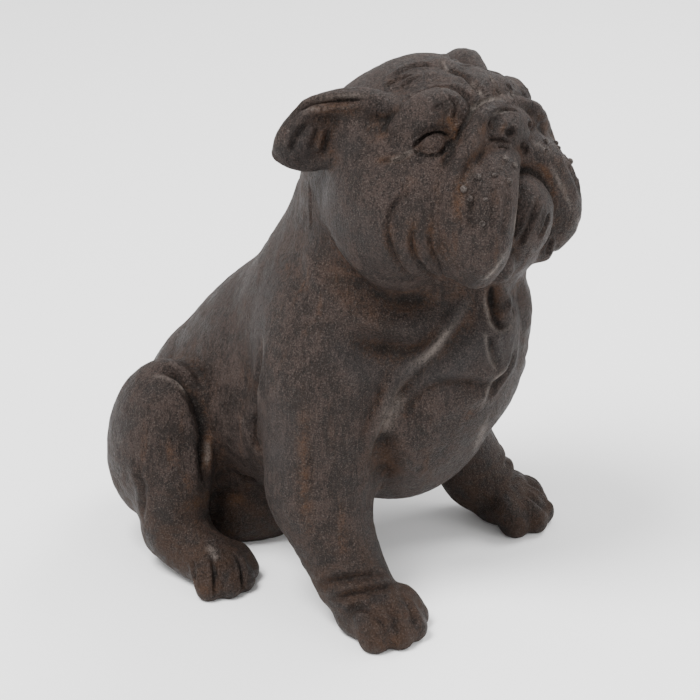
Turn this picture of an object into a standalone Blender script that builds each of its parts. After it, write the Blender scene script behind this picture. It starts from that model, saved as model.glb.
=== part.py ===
# Seated bulldog figurine, cast in one hollow piece with the head raised and turned a little.
# It stands by its own weight on four paws and the flat underside of its rump.
#
# The form is a set of rounded masses, balls and tapering limbs, melted into one another.
# The folds of the face, neck and legs are then carved into that surface along short curves.
# Pose, proportions and carving are given as shares of a working height; FIGURE_HEIGHT makes
# them metres where each mass and fold is laid down.
# The dog faces -Y, its own left is +X, and most masses are given once and mirrored.

import math

import bmesh
import bpy
import numpy as np
from mathutils import Euler

for old in list(bpy.data.objects):
    bpy.data.objects.remove(old)

# Size and resolution
FIGURE_HEIGHT = 0.430        # metres, floor to the crown of the head
CROWN_SHARE = 0.978          # where the crown comes on the working height
UNIT = FIGURE_HEIGHT / CROWN_SHARE
ROUGH_VOXEL = 0.0044         # metres, first skin over the masses
FINE_VOXEL = 0.0022          # metres, skin that takes the carving
TRIANGLES = 9600             # what the finished solid is thinned to
SOLE_CUT = 0.0015            # metres taken off the soles to make them flat
SOFT_MIDLINE = 0.006 * UNIT  # how softly the two mirrored halves meet
FOLD_ROLL = 0.35             # height of the roll beside a fold, as a share of its depth

# Head pose
HEAD_TURN = -5.0             # degrees, the muzzle turned to the dog's left
HEAD_TILT = 2.5              # degrees, the dog's left ear lower than the right
HEAD_PIVOT = np.array([0.0, -0.05, 0.70]) * UNIT
BROW_SLIP = np.array([0.0, -0.012, -0.020]) * UNIT    # the left brow, forward and down
NECK_BLEND = 0.05 * UNIT

# Surface
PATINA_COLOUR = (0.098, 0.080, 0.070, 1.0)
PATINA_ROUGHNESS = 0.62


def turned(angles):
    """Rotation matrix from three angles in degrees."""
    return np.array(Euler([math.radians(a) for a in angles]).to_matrix())


def aimed(length_axis, face_axis):
    """Rotation matrix whose X lies along one direction and whose Z looks along another."""
    x = np.array(length_axis, float)
    x /= np.linalg.norm(x)
    z = np.array(face_axis, float)
    z -= x * (z @ x)
    z /= np.linalg.norm(z)
    return np.stack([x, np.cross(z, x), z], 1)


def smooth_path(points, steps=5):
    """Catmull-Rom curve through the given rows."""
    rows = np.vstack([2 * points[0] - points[1], points, 2 * points[-1] - points[-2]])
    path = []
    for i in range(1, len(rows) - 2):
        a, b, c, d = rows[i - 1:i + 3]
        for t in np.linspace(0, 1, steps, endpoint=False):
            path.append(0.5 * (2 * b + (c - a) * t + (2 * a - 5 * b + 4 * c - d) * t**2
                               + (3 * b - a - 3 * c + d) * t**3))
    path.append(rows[-2])
    return np.array(path)


class Ball:
    """An ellipsoid mass: centre, half sizes, turn, how far it melts into what is there."""

    def __init__(self, name, at, size, turn=(0, 0, 0), blend=0.03, cut=False):
        self.name = name
        self.at = np.array(at, float) * UNIT
        self.size = np.array(size, float) * UNIT
        self.matrix = aimed(*turn) if len(turn) == 2 else turned(turn)
        self.blend = blend * UNIT
        self.cut = cut

    def bound(self):
        return self.at, self.size.max()

    def distance(self, points):
        local = (points - self.at) @ self.matrix
        near = np.sqrt(((local / self.size)**2).sum(1)) + 1e-9
        slope = np.sqrt(((local / self.size**2)**2).sum(1)) + 1e-9
        return near * (near - 1) / slope

    def pebbles(self):
        return [(self.at, self.matrix * self.size)]


class Limb:
    """A chain of round cones through stations (x, y, z, radius), smoothed along its length."""

    def __init__(self, name, *stations, blend=0.03, cut=False):
        rows = np.array(stations, float) * UNIT
        self.name = name
        self.rows = smooth_path(rows) if len(rows) > 2 else rows
        self.blend = blend * UNIT
        self.cut = cut

    def bound(self):
        low = self.rows[:, :3].min(0)
        high = self.rows[:, :3].max(0)
        return (low + high) / 2, np.linalg.norm(high - low) / 2 + self.rows[:, 3].max()

    def distance(self, points):
        best = np.full(len(points), 9.0)
        for a, b in zip(self.rows[:-1], self.rows[1:]):
            along = b[:3] - a[:3]
            t = np.clip((points - a[:3]) @ along / (along @ along), 0, 1)
            gap = np.linalg.norm(points - a[:3] - t[:, None] * along, axis=1)
            best = np.minimum(best, gap - (a[3] + (b[3] - a[3]) * t))
        return best

    def pebbles(self):
        found = []
        for a, b in zip(self.rows[:-1], self.rows[1:]):
            count = 2 + int(np.linalg.norm(b[:3] - a[:3]) / (0.5 * min(a[3], b[3])))
            for t in np.linspace(0, 1, count):
                row = a + (b - a) * t
                found.append((row[:3], np.eye(3) * row[3]))
        return found


class Fold:
    """A fold carved along the surface near the given points; a negative depth raises a ridge."""

    def __init__(self, name, width, depth, *points, head=False, mirrored=True):
        self.name = name
        self.width = width * UNIT
        self.depth = depth * UNIT
        self.path = smooth_path(np.array(points, float) * UNIT, 6)
        self.head = head
        self.mirrored = mirrored


def paw(x, y, splay, spread, ahead, radius):
    """Four toes side by side, the two in the middle reaching further."""
    angle = math.radians(splay)
    forward = np.array([math.sin(angle), -math.cos(angle)])
    across = np.array([math.cos(angle), math.sin(angle)])
    toes = []
    for place, reach in ((-1.0, 0.62), (-0.35, 1.0), (0.35, 1.0), (1.0, 0.62)):
        root = np.array([x, y]) + across * place * spread * 0.6
        tip = np.array([x, y]) + across * place * spread + forward * reach * ahead
        middle = (root + tip) / 2
        toes.append(Limb("toe", (*root, 0.040, radius * 1.10), (*middle, 0.045, radius * 1.15),
                         (*tip, 0.022, radius), blend=0.010))
    return toes


# Masses of the body, legs and neck
BODY = [
    Ball("barrel", (0, 0.02, 0.315), (0.205, 0.235, 0.205), (-30, 0, 0), 0.05),
    Ball("chest", (0, -0.170, 0.345), (0.170, 0.150, 0.200), (16, 0, 0), 0.07),
    Ball("breast", (0, -0.275, 0.44), (0.12, 0.10, 0.13), (10, 0, 0), 0.06),
    Limb("back", (0, -0.02, 0.48, 0.155), (0, 0.11, 0.375, 0.155), (0, 0.195, 0.27, 0.155),
         blend=0.06),
    Ball("withers", (0.03, -0.03, 0.49), (0.17, 0.13, 0.13), (-38, 0, 0), 0.06),
    Ball("rump", (0, 0.245, 0.18), (0.18, 0.155, 0.18), (0, 0, 0), 0.06),
    Limb("neck", (0, -0.04, 0.50, 0.15), (0, -0.085, 0.64, 0.15), (0, -0.13, 0.76, 0.14),
         blend=0.07),
    Limb("neck side", (0.07, -0.10, 0.52, 0.12), (0.06, -0.15, 0.66, 0.12), blend=0.06),
    Limb("throat", (0, -0.22, 0.50, 0.12), (0, -0.25, 0.62, 0.105), blend=0.06),
    Limb("dewlap", (0.02, -0.335, 0.60, 0.035), (0.025, -0.345, 0.54, 0.04),
         (0.02, -0.33, 0.48, 0.035), blend=0.04),
    Ball("shoulder", (0.155, -0.085, 0.41), (0.095, 0.115, 0.18), (-6, 6, 0), 0.05),
    Limb("upper arm", (0.18, -0.085, 0.42, 0.09), (0.195, -0.095, 0.30, 0.09),
         (0.20, -0.10, 0.22, 0.086), blend=0.04),
    Limb("forearm", (0.202, -0.10, 0.24, 0.085), (0.213, -0.14, 0.15, 0.074),
         (0.224, -0.183, 0.085, 0.061), blend=0.03),
    Limb("pastern", (0.224, -0.183, 0.085, 0.061), (0.230, -0.230, 0.048, 0.056), blend=0.02),
    Ball("thigh", (0.19, 0.248, 0.222), (0.095, 0.103, 0.165), (10, 0, 6), 0.025),
    Ball("rump floor", (0, 0.20, 0.07), (0.16, 0.16, 0.11), (0, 0, 0), 0.05),
    Limb("shank", (0.225, 0.20, 0.17, 0.07), (0.235, 0.19, 0.09, 0.062), blend=0.03),
    Limb("hock", (0.225, 0.20, 0.055, 0.05), (0.245, 0.14, 0.05, 0.052),
         (0.25, 0.10, 0.045, 0.05), blend=0.03),
    Ball("tail", (0, 0.395, 0.17), (0.03, 0.03, 0.04), (0, 0, 0), 0.02),
]
BODY += paw(0.232, -0.242, 8, 0.050, 0.064, 0.028)
BODY += paw(0.250, 0.093, 12, 0.045, 0.055, 0.025)

# Masses of the head, before it is turned and tilted
EAR = ((0.10, 0.075, -0.085), (0.42, -0.88, 0.10))
HEAD = [
    Ball("skull", (0, -0.195, 0.848), (0.155, 0.145, 0.130), (-6, 0, 0), 0.05),
    Ball("nape", (0, -0.11, 0.785), (0.14, 0.11, 0.12), (0, 0, 0), 0.06),
    Ball("cheek", (0.135, -0.225, 0.755), (0.085, 0.12, 0.12), (0, 0, 0), 0.045),
    Ball("jaw", (0, -0.30, 0.72), (0.12, 0.12, 0.075), (0, 0, 0), 0.05),
    Ball("muzzle", (0, -0.308, 0.858), (0.125, 0.052, 0.070), (-12, 0, 0), 0.04),
    Ball("brow", (0.092, -0.272, 0.912), (0.058, 0.045, 0.040), (0, 0, 20), 0.03),
    Ball("stop", (0, -0.292, 0.926), (0.088, 0.056, 0.040), (-30, 0, 0), 0.02),
    Ball("orbit", (0.100, -0.255, 0.860), (0.045, 0.040, 0.05), (0, 0, 0), 0.03),
    Ball("eye socket", (0.124, -0.302, 0.872), (0.034, 0.026, 0.022), (0, 0, 30), 0.012, cut=True),
    Limb("brow roll", (0.145, -0.240, 0.903, 0.012), (0.132, -0.253, 0.928, 0.015),
         (0.114, -0.270, 0.942, 0.016), (0.098, -0.292, 0.951, 0.014),
         (0.086, -0.310, 0.946, 0.012), (0.080, -0.319, 0.930, 0.012),
         (0.080, -0.318, 0.908, 0.010), blend=0.010),
    Limb("lid roll", (0.138, -0.264, 0.912, 0.006), (0.127, -0.279, 0.919, 0.007),
         (0.112, -0.290, 0.926, 0.006), blend=0.008),
    Ball("eyeball", (0.102, -0.274, 0.868), (0.030, 0.030, 0.029), (0, 0, 0), 0.003),
    Limb("upper lid", (0.131, -0.258, 0.860, 0.005), (0.134, -0.272, 0.878, 0.007),
         (0.124, -0.286, 0.889, 0.007), (0.106, -0.295, 0.893, 0.006),
         (0.084, -0.298, 0.884, 0.005), blend=0.005),
    Limb("lower lid", (0.131, -0.260, 0.858, 0.005), (0.131, -0.278, 0.851, 0.006),
         (0.119, -0.294, 0.848, 0.006), (0.100, -0.301, 0.852, 0.006),
         (0.086, -0.303, 0.864, 0.005), blend=0.005),
    Ball("flew side", (0.113, -0.325, 0.76), (0.060, 0.065, 0.105), (4, 0, 0), 0.016),
    Limb("flew", (0.030, -0.366, 0.836, 0.034), (0.066, -0.378, 0.812, 0.043),
         (0.094, -0.388, 0.765, 0.047), (0.108, -0.390, 0.715, 0.047),
         (0.106, -0.380, 0.686, 0.041), blend=0.03),
    Limb("mouth", (0, -0.450, 0.828, 0.012), (0, -0.470, 0.76, 0.056),
         (0, -0.470, 0.66, 0.072), blend=0.010, cut=True),
    Ball("chin", (0, -0.380, 0.746), (0.063, 0.066, 0.084), (6, 0, 0), 0.004),
    Ball("lip lobe", (0.058, -0.405, 0.676), (0.022, 0.024, 0.032), (0, 0, 0), 0.005),
    Ball("under chin", (0, -0.350, 0.672), (0.078, 0.065, 0.045), (0, 0, 0), 0.02),
    Limb("nose rope", (0, -0.350, 0.927, 0.010), (0.036, -0.350, 0.928, 0.010),
         (0.066, -0.352, 0.923, 0.012), (0.080, -0.350, 0.906, 0.015),
         (0.092, -0.350, 0.890, 0.017), (0.106, -0.349, 0.868, 0.017),
         (0.121, -0.345, 0.845, 0.015), (0.129, -0.336, 0.812, 0.013),
         (0.135, -0.336, 0.774, 0.011), (0.143, -0.348, 0.743, 0.008), blend=0.012),
    Ball("nose back", (0, -0.332, 0.880), (0.080, 0.028, 0.040), (-25, 0, 0), 0.012),
    Ball("nose", (0, -0.359, 0.887), (0.050, 0.028, 0.034), (-22, 0, 0), 0.004),
    Ball("nostril", (0.028, -0.388, 0.890), (0.011, 0.014, 0.009), (0, 30, 0), 0.003, cut=True),
    Ball("ear", (0.183, -0.098, 0.872), (0.074, 0.048, 0.026), EAR, 0.02),
    Ball("ear hollow", (0.196, -0.140, 0.866), (0.034, 0.026, 0.018), EAR, 0.01, cut=True),
    Limb("ear rim", (0.120, -0.215, 0.920, 0.020), (0.147, -0.183, 0.932, 0.021),
         (0.172, -0.143, 0.930, 0.019), (0.200, -0.105, 0.914, 0.016),
         (0.219, -0.074, 0.868, 0.012), (0.226, -0.050, 0.828, 0.006),
         (0.200, -0.088, 0.812, 0.010), (0.172, -0.120, 0.826, 0.016), blend=0.012),
    Ball("ear root", (0.150, -0.160, 0.878), (0.034, 0.036, 0.050), (0, 0, 0), 0.03),
]

# Folds of the head
FOLDS = [
    Fold("outer arch", 0.008, 0.013, (0.095, -0.175, 0.950), (0.055, -0.195, 0.970),
         (0.030, -0.215, 0.975), head=True),
    Fold("second arch", 0.007, 0.009, (0.140, -0.200, 0.945), (0.095, -0.195, 0.955),
         (0.070, -0.225, 0.960), head=True),
    Fold("inner arch", 0.008, 0.014, (0.135, -0.230, 0.915), (0.120, -0.235, 0.935),
         (0.095, -0.260, 0.955), (0.070, -0.300, 0.955), (0.070, -0.330, 0.935),
         (0.080, -0.340, 0.915), head=True),
    Fold("lid fold", 0.006, 0.008, (0.145, -0.265, 0.910), (0.140, -0.300, 0.930),
         (0.115, -0.325, 0.935), head=True),
    Fold("eye crease", 0.006, 0.007, (0.160, -0.275, 0.870), (0.185, -0.255, 0.855),
         (0.195, -0.190, 0.835), head=True),
    Fold("flew crease", 0.010, 0.015, (0.090, -0.335, 0.915), (0.120, -0.320, 0.875),
         (0.165, -0.335, 0.820), (0.170, -0.360, 0.730), (0.135, -0.385, 0.655), head=True),
    Fold("flew fold", 0.009, 0.008, (0.160, -0.360, 0.815), (0.165, -0.365, 0.770),
         (0.160, -0.390, 0.735), head=True),
    Fold("flew line, inner", 0.007, 0.007, (0.070, -0.360, 0.880), (0.095, -0.360, 0.865),
         (0.115, -0.375, 0.845), head=True),
    Fold("flew line, middle", 0.008, 0.006, (0.090, -0.400, 0.850), (0.110, -0.410, 0.820),
         (0.125, -0.415, 0.785), head=True),
    Fold("flew line, front", 0.008, 0.006, (0.090, -0.425, 0.815), (0.100, -0.430, 0.785),
         (0.115, -0.435, 0.745), head=True),
    Fold("cheek loop, back", 0.009, 0.013, (0.175, -0.320, 0.820), (0.205, -0.285, 0.800),
         (0.215, -0.275, 0.745), (0.190, -0.285, 0.685), (0.110, -0.280, 0.625), head=True),
    Fold("cheek loop, middle", 0.009, 0.013, (0.190, -0.320, 0.770), (0.195, -0.310, 0.725),
         (0.160, -0.315, 0.675), (0.090, -0.300, 0.625), head=True),
    Fold("cheek loop, front", 0.009, 0.010, (0.180, -0.340, 0.770), (0.175, -0.335, 0.730),
         (0.160, -0.340, 0.685), (0.080, -0.310, 0.630), head=True),
    Fold("ear fold", 0.007, 0.009, (0.225, -0.095, 0.895), (0.210, -0.110, 0.925),
         (0.185, -0.150, 0.935), (0.165, -0.185, 0.935), head=True),
    Fold("ear ridge", 0.008, -0.009, (0.220, -0.095, 0.845), (0.215, -0.105, 0.885),
         (0.205, -0.125, 0.910), head=True),
    Fold("face side", 0.010, 0.007, (0.170, -0.270, 0.860), (0.180, -0.300, 0.830),
         (0.175, -0.335, 0.790), head=True),
    Fold("forehead furrow", 0.008, 0.013, (0.030, -0.215, 0.975), (0.025, -0.250, 0.970),
         (0.020, -0.285, 0.955), (0.015, -0.320, 0.940), head=True),
    Fold("lip furrow", 0.006, 0.008, (0, -0.390, 0.875), (0, -0.400, 0.865),
         (0, -0.400, 0.845), head=True, mirrored=False),
]

# Folds of the neck, body and legs
FOLDS += [
    Fold("collar", 0.026, 0.020, (0.135, -0.045, 0.770), (0.180, -0.090, 0.695),
         (0.190, -0.155, 0.630), (0.140, -0.235, 0.580), (0.085, -0.320, 0.585)),
    Fold("throat fold", 0.012, 0.011, (0.075, -0.340, 0.600), (0.105, -0.305, 0.540),
         (0.135, -0.265, 0.490), (0.155, -0.230, 0.435)),
    Fold("dewlap groove", 0.011, 0.009, (0.065, -0.370, 0.625), (0.060, -0.365, 0.585),
         (0.050, -0.380, 0.545)),
    Fold("chest crease", 0.014, 0.007, (0.030, -0.380, 0.465), (0.095, -0.340, 0.455),
         (0.135, -0.285, 0.415), (0.150, -0.250, 0.360)),
    Fold("arm front crease", 0.013, 0.009, (0.155, -0.230, 0.430), (0.170, -0.220, 0.375),
         (0.190, -0.195, 0.255)),
    Fold("arm rear crease", 0.011, 0.010, (0.225, -0.005, 0.510), (0.225, 0.010, 0.380),
         (0.205, 0.025, 0.280)),
    Fold("haunch crease", 0.010, 0.016, (0.235, 0.245, 0.370), (0.215, 0.215, 0.380),
         (0.200, 0.170, 0.350), (0.200, 0.140, 0.255), (0.230, 0.130, 0.160)),
    Fold("buttock crease", 0.010, 0.006, (0.290, 0.225, 0.210), (0.295, 0.220, 0.165),
         (0.295, 0.220, 0.110)),
    Fold("flank wrinkle, upper", 0.007, 0.007, (0.145, 0.115, 0.160), (0.160, 0.075, 0.180),
         (0.165, 0.045, 0.185)),
    Fold("wrist crease, upper", 0.007, 0.009, (0.290, -0.155, 0.090), (0.280, -0.215, 0.105),
         (0.230, -0.245, 0.115)),
    Fold("wrist crease, lower", 0.007, 0.009, (0.290, -0.175, 0.070), (0.275, -0.245, 0.085),
         (0.210, -0.275, 0.075)),
]

HEAD_FRAME = turned((0, HEAD_TILT, HEAD_TURN))


def slip(points):
    """How far the left brow and ear hang lower and further forward than the right ones."""
    x, y, z = (points / UNIT).T
    side = np.clip((x - 0.01) / 0.08, 0, 1)
    high = np.clip((z - 0.84) / 0.06, 0, 1)
    front = np.clip((-0.14 - y) / 0.12, 0.2, 1)
    share = side**2 * (3 - 2 * side) * high**2 * (3 - 2 * high) * front
    return share[:, None] * BROW_SLIP


def into_head(points):
    """Points of the figure as seen by the head before it was turned and tilted."""
    local = (points - HEAD_PIVOT) @ HEAD_FRAME + HEAD_PIVOT
    return local - slip(local)


def out_of_head(points):
    """Points of the untouched head carried to where the turned head has them."""
    return (points + slip(points) - HEAD_PIVOT) @ HEAD_FRAME.T + HEAD_PIVOT


def one_side(points):
    """Both halves of the figure laid over each other, with a soft line where they meet."""
    folded = points.copy()
    folded[:, 0] = np.sqrt(points[:, 0]**2 + SOFT_MIDLINE**2) - SOFT_MIDLINE / 2
    return folded


def melted(field, distance, blend):
    """Smooth union of a field with one more mass."""
    share = np.clip(0.5 + 0.5 * (distance - field) / blend, 0, 1)
    return distance + (field - distance) * share - blend * share * (1 - share)


def gathered(points, masses):
    """Field of a list of masses, each joined or cut in its turn."""
    field = np.full(len(points), UNIT)
    for mass in masses:
        centre, radius = mass.bound()
        reach = radius + mass.blend + 0.06 * UNIT
        near = np.nonzero(((points - centre)**2).sum(1) < reach**2)[0]
        distance = mass.distance(points[near])
        if mass.cut:
            field[near] = -melted(-field[near], distance, mass.blend)
        else:
            field[near] = melted(field[near], distance, mass.blend)
    return field


def form(points):
    """Field of the whole figure: below nought inside, above nought outside."""
    body = gathered(one_side(points), BODY)
    head = gathered(one_side(into_head(points)), HEAD)
    return np.maximum(melted(body, head, NECK_BLEND), -points[:, 2])


def pull(points, furthest, weakest):
    """Step that carries points onto the surface of the form along its steepest slope."""
    probe = 0.0008 * UNIT
    slope = np.stack([form(points + probe * axis) - form(points - probe * axis)
                      for axis in np.eye(3)], 1) / (2 * probe)
    step = -(form(points) / np.maximum((slope**2).sum(1), weakest))[:, None] * slope
    length = np.linalg.norm(step, axis=1, keepdims=True)
    return step * np.minimum(1, furthest / np.maximum(length, 1e-9))


def places(mesh, kind="co"):
    """Vertex positions or normals of a mesh as rows."""
    flat = np.empty(len(mesh.vertices) * 3)
    mesh.vertices.foreach_get(kind, flat)
    return flat.reshape(-1, 3)


def put(mesh, rows):
    """Write vertex positions back."""
    mesh.vertices.foreach_set("co", rows.astype(np.float32).ravel())
    mesh.update()


def changed_by(obj, kind, **settings):
    """Apply one modifier and keep its result as the object's mesh."""
    modifier = obj.modifiers.new(kind.title(), kind)
    for name, value in settings.items():
        setattr(modifier, name, value)
    depsgraph = bpy.context.evaluated_depsgraph_get()
    mesh = bpy.data.meshes.new_from_object(obj.evaluated_get(depsgraph))
    obj.modifiers.clear()
    obj.data = mesh


def settle(mesh, rounds=3):
    """Bring a skin onto the form and even out its spacing between the steps."""
    edges = np.empty(len(mesh.edges) * 2, int)
    mesh.edges.foreach_get("vertices", edges)
    edges = edges.reshape(-1, 2)
    count = np.bincount(edges.ravel(), minlength=len(mesh.vertices))[:, None]
    for turn in range(rounds):
        rows = places(mesh)
        put(mesh, rows + pull(rows, 0.01 * UNIT, 0.05))
        if turn == rounds - 1:
            break
        rows = places(mesh)
        normal = places(mesh, "normal")
        total = np.zeros_like(rows)
        for axis in range(3):
            total[:, axis] = (np.bincount(edges[:, 0], rows[edges[:, 1], axis], len(rows))
                              + np.bincount(edges[:, 1], rows[edges[:, 0], axis], len(rows)))
        move = total / count - rows
        move -= (move * normal).sum(1, keepdims=True) * normal
        put(mesh, rows + 0.6 * move)


def rough_skin(name):
    """Closed skin over every mass, good to about one voxel."""
    bm = bmesh.new()
    bmesh.ops.create_icosphere(bm, subdivisions=3, radius=1.0)
    ball = np.array([v.co[:] for v in bm.verts])
    faces = np.array([[v.index for v in f.verts] for f in bm.faces])
    bm.free()
    all_points, all_faces, used = [], [], 0
    for masses, is_head in ((BODY, False), (HEAD, True)):
        for mass in masses:
            if mass.cut:
                continue
            for centre, shape in mass.pebbles():
                for side in (1, -1):
                    points = (ball @ shape.T + centre) * (side, 1, 1)
                    all_points.append(out_of_head(points) if is_head else points)
                    all_faces.append((faces if side > 0 else faces[:, ::-1]) + used)
                    used += len(ball)
    mesh = bpy.data.meshes.new(name)
    mesh.from_pydata(np.vstack(all_points).tolist(), [], np.vstack(all_faces).tolist())
    obj = bpy.data.objects.new(name, mesh)
    collection = bpy.data.collections.new("bulldog_figurine")
    bpy.context.scene.collection.children.link(collection)
    collection.objects.link(obj)
    changed_by(obj, "REMESH", mode="VOXEL", voxel_size=ROUGH_VOXEL)
    return obj


def nearest_on(points, path):
    """Distance of each point from a path, and how far along the path that is."""
    lengths = np.linalg.norm(path[1:] - path[:-1], axis=1)
    run = np.concatenate([[0], np.cumsum(lengths)])
    best = np.full(len(points), 9.0)
    share = np.zeros(len(points))
    for i, (a, b) in enumerate(zip(path[:-1], path[1:])):
        along = b - a
        t = np.clip((points - a) @ along / max(along @ along, 1e-12), 0, 1)
        gap = np.linalg.norm(points - a - t[:, None] * along, axis=1)
        closer = gap < best
        best[closer] = gap[closer]
        share[closer] = (run[i] + t[closer] * lengths[i]) / run[-1]
    return best, share


def carve(mesh, folds):
    """Sink every fold into the skin along its normals, with a low roll on both sides."""
    rows = places(mesh)
    sink = np.zeros(len(rows))
    for fold in folds:
        for side in ((1, -1) if fold.mirrored else (1,)):
            path = fold.path * (side, 1, 1)
            if fold.head:
                path = out_of_head(path)
            for _ in range(8):
                path = path + pull(path, 0.02 * UNIT, 0.2)
            reach = 4.5 * fold.width
            box = (rows > path.min(0) - reach) & (rows < path.max(0) + reach)
            near = np.nonzero(box.all(1))[0]
            gap, share = nearest_on(rows[near], path)
            fade = np.clip(np.minimum(share, 1 - share) * 4, 0, 1)
            fade = fade**2 * (3 - 2 * fade)
            groove = np.exp(-(gap / fold.width)**2)
            roll = np.exp(-((gap - 2.1 * fold.width) / (1.1 * fold.width))**2)
            sink[near] += fold.depth * fade * (groove - FOLD_ROLL * roll)
    put(mesh, rows - places(mesh, "normal") * sink[:, None])


def flat_soles(mesh, height):
    """Slice the underside level and close it with flat faces."""
    bm = bmesh.new()
    bm.from_mesh(mesh)
    bmesh.ops.bisect_plane(bm, geom=bm.verts[:] + bm.edges[:] + bm.faces[:], dist=1e-5,
                           plane_co=(0, 0, height), plane_no=(0, 0, 1), clear_inner=True)
    rim = [edge for edge in bm.edges if edge.is_boundary]
    bmesh.ops.holes_fill(bm, edges=rim, sides=0)
    bmesh.ops.dissolve_degenerate(bm, dist=1e-5, edges=bm.edges[:])
    bmesh.ops.triangulate(bm, faces=bm.faces[:])
    bmesh.ops.recalc_face_normals(bm, faces=bm.faces[:])
    bm.to_mesh(mesh)
    bm.free()


def stand(mesh):
    """Put the middle of the figure's underside at the origin."""
    rows = places(mesh)
    low, high = rows.min(0), rows.max(0)
    middle = (low + high) / 2
    middle[2] = low[2]
    put(mesh, rows - middle)


def patina():
    """Matt dark brown finish of the cast."""
    material = bpy.data.materials.new("patina")
    material.use_nodes = True
    surface = material.node_tree.nodes["Principled BSDF"]
    surface.inputs["Base Color"].default_value = PATINA_COLOUR
    surface.inputs["Roughness"].default_value = PATINA_ROUGHNESS
    surface.inputs["Metallic"].default_value = 0.0
    return material


figure = rough_skin("bulldog")
settle(figure.data)
changed_by(figure, "REMESH", mode="VOXEL", voxel_size=FINE_VOXEL)
settle(figure.data)
carve(figure.data, FOLDS)
changed_by(figure, "DECIMATE", ratio=TRIANGLES / (2 * len(figure.data.polygons)))
flat_soles(figure.data, SOLE_CUT)
stand(figure.data)
figure.data.name = "bulldog"
figure.data.materials.clear()
figure.data.materials.append(patina())
figure.data.polygons.foreach_set("use_smooth", [True] * len(figure.data.polygons))
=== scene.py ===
# %% [markdown]
# # A cast bulldog figurine
#
# The real object is one hollow casting with a dark, brushed patina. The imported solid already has
# its outline, pose and large folds. This lesson lays a much finer skin over the same masses, cuts
# the folds crisply, adds the small relief of the face and paws, and gives it the worn patina.

# %% Load the fixed frame
import math

import bmesh
import bpy
import numpy as np
from mathutils import Euler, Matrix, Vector
from mathutils.bvhtree import BVHTree


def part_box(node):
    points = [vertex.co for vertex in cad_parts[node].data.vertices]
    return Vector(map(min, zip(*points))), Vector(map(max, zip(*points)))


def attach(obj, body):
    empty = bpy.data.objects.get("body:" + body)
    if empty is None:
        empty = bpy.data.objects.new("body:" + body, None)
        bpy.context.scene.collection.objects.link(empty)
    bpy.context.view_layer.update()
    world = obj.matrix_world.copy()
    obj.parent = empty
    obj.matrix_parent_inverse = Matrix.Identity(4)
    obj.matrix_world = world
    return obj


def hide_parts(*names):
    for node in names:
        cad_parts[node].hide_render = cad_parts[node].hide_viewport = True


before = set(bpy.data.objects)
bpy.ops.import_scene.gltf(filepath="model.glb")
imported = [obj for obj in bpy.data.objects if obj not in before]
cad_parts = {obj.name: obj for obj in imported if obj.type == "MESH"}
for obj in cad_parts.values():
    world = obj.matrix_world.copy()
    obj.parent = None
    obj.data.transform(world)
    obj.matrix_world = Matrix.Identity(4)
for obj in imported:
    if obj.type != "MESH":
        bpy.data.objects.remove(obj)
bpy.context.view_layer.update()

MM = 1000                    # millimetres in a metre
CAD_LOW, CAD_HIGH = (np.array(corner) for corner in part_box("bulldog"))
print("Packed figure, millimetres:", ((CAD_HIGH - CAD_LOW) * MM).round(1))

# %% [markdown]
# ## Working size
#
# A sculptor sets out a figure in shares of its height. One share here is the height that puts the
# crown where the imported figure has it, so every mass, fold and mark follows the frame.

# %% Shares of the working height
CROWN_SHARE = 0.9827         # where the crown comes on the working height
SOLE_SHARE = 0.0034          # what the flat soles cut off
UNIT = (CAD_HIGH[2] - CAD_LOW[2]) / (CROWN_SHARE - SOLE_SHARE)
print("One share of the height is", round(UNIT * MM, 1), "mm")

# %% [markdown]
# ## The camera comes first
#
# The picture was taken from the dog's right, a little in front and above, with a long lens.
# Marks on the face are easiest to place as they are seen, so the camera is set before the skin,
# and a mark's pixel in the 700 x 700 picture is later sent along its sight line to the surface.

# %% The photograph's view
FRAME_PIXELS = 700
SENSOR = 36.0                                   # millimetres
VIEW_TURN, VIEW_RISE = -58.0, 25.0              # degrees round the dog, and above the floor
VIEW_DISTANCE = 4.2 * UNIT
VIEW_TARGET = np.array([0.0, -0.04, 0.40]) * UNIT
PIXELS_AT_TARGET = 553.0 / UNIT                 # pixels for each metre at the target
FOCAL_PIXELS = PIXELS_AT_TARGET * VIEW_DISTANCE

turn, rise = math.radians(VIEW_TURN), math.radians(VIEW_RISE)
VIEW_BACK = np.array([math.sin(turn) * math.cos(rise), -math.cos(turn) * math.cos(rise),
                      math.sin(rise)])
VIEW_RIGHT = np.array([math.cos(turn), math.sin(turn), 0.0])
VIEW_UP = np.cross(VIEW_BACK, VIEW_RIGHT)
EYE = VIEW_TARGET + VIEW_BACK * VIEW_DISTANCE


def sight_line(pixel):
    """Direction from the camera through a pixel of the picture."""
    across = (pixel[0] - FRAME_PIXELS / 2) / FOCAL_PIXELS
    down = (pixel[1] - FRAME_PIXELS / 2) / FOCAL_PIXELS
    ray = VIEW_RIGHT * across - VIEW_UP * down - VIEW_BACK
    return ray / np.linalg.norm(ray)


def aim_camera(shift):
    """Long-lens camera at the photograph's place, moved with the figure."""
    data = bpy.data.cameras.new("camera")
    data.sensor_width = SENSOR
    data.lens = SENSOR * FOCAL_PIXELS / FRAME_PIXELS
    camera = bpy.data.objects.new("camera", data)
    bpy.context.scene.collection.objects.link(camera)
    camera.location = EYE + shift
    camera.rotation_euler = Vector(VIEW_BACK).to_track_quat("Z", "Y").to_euler()
    bpy.context.scene.camera = camera
    print("Lens", round(data.lens, 1), "mm at", round(VIEW_DISTANCE, 2), "m")

# %% [markdown]
# ## Two kinds of mass
#
# Clay for a figure goes on as balls and rolls. Each is a distance formula here: below nought
# inside and above it outside. Formulas melt into one another smoothly, which meshes joined by a
# Boolean would not.

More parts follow.
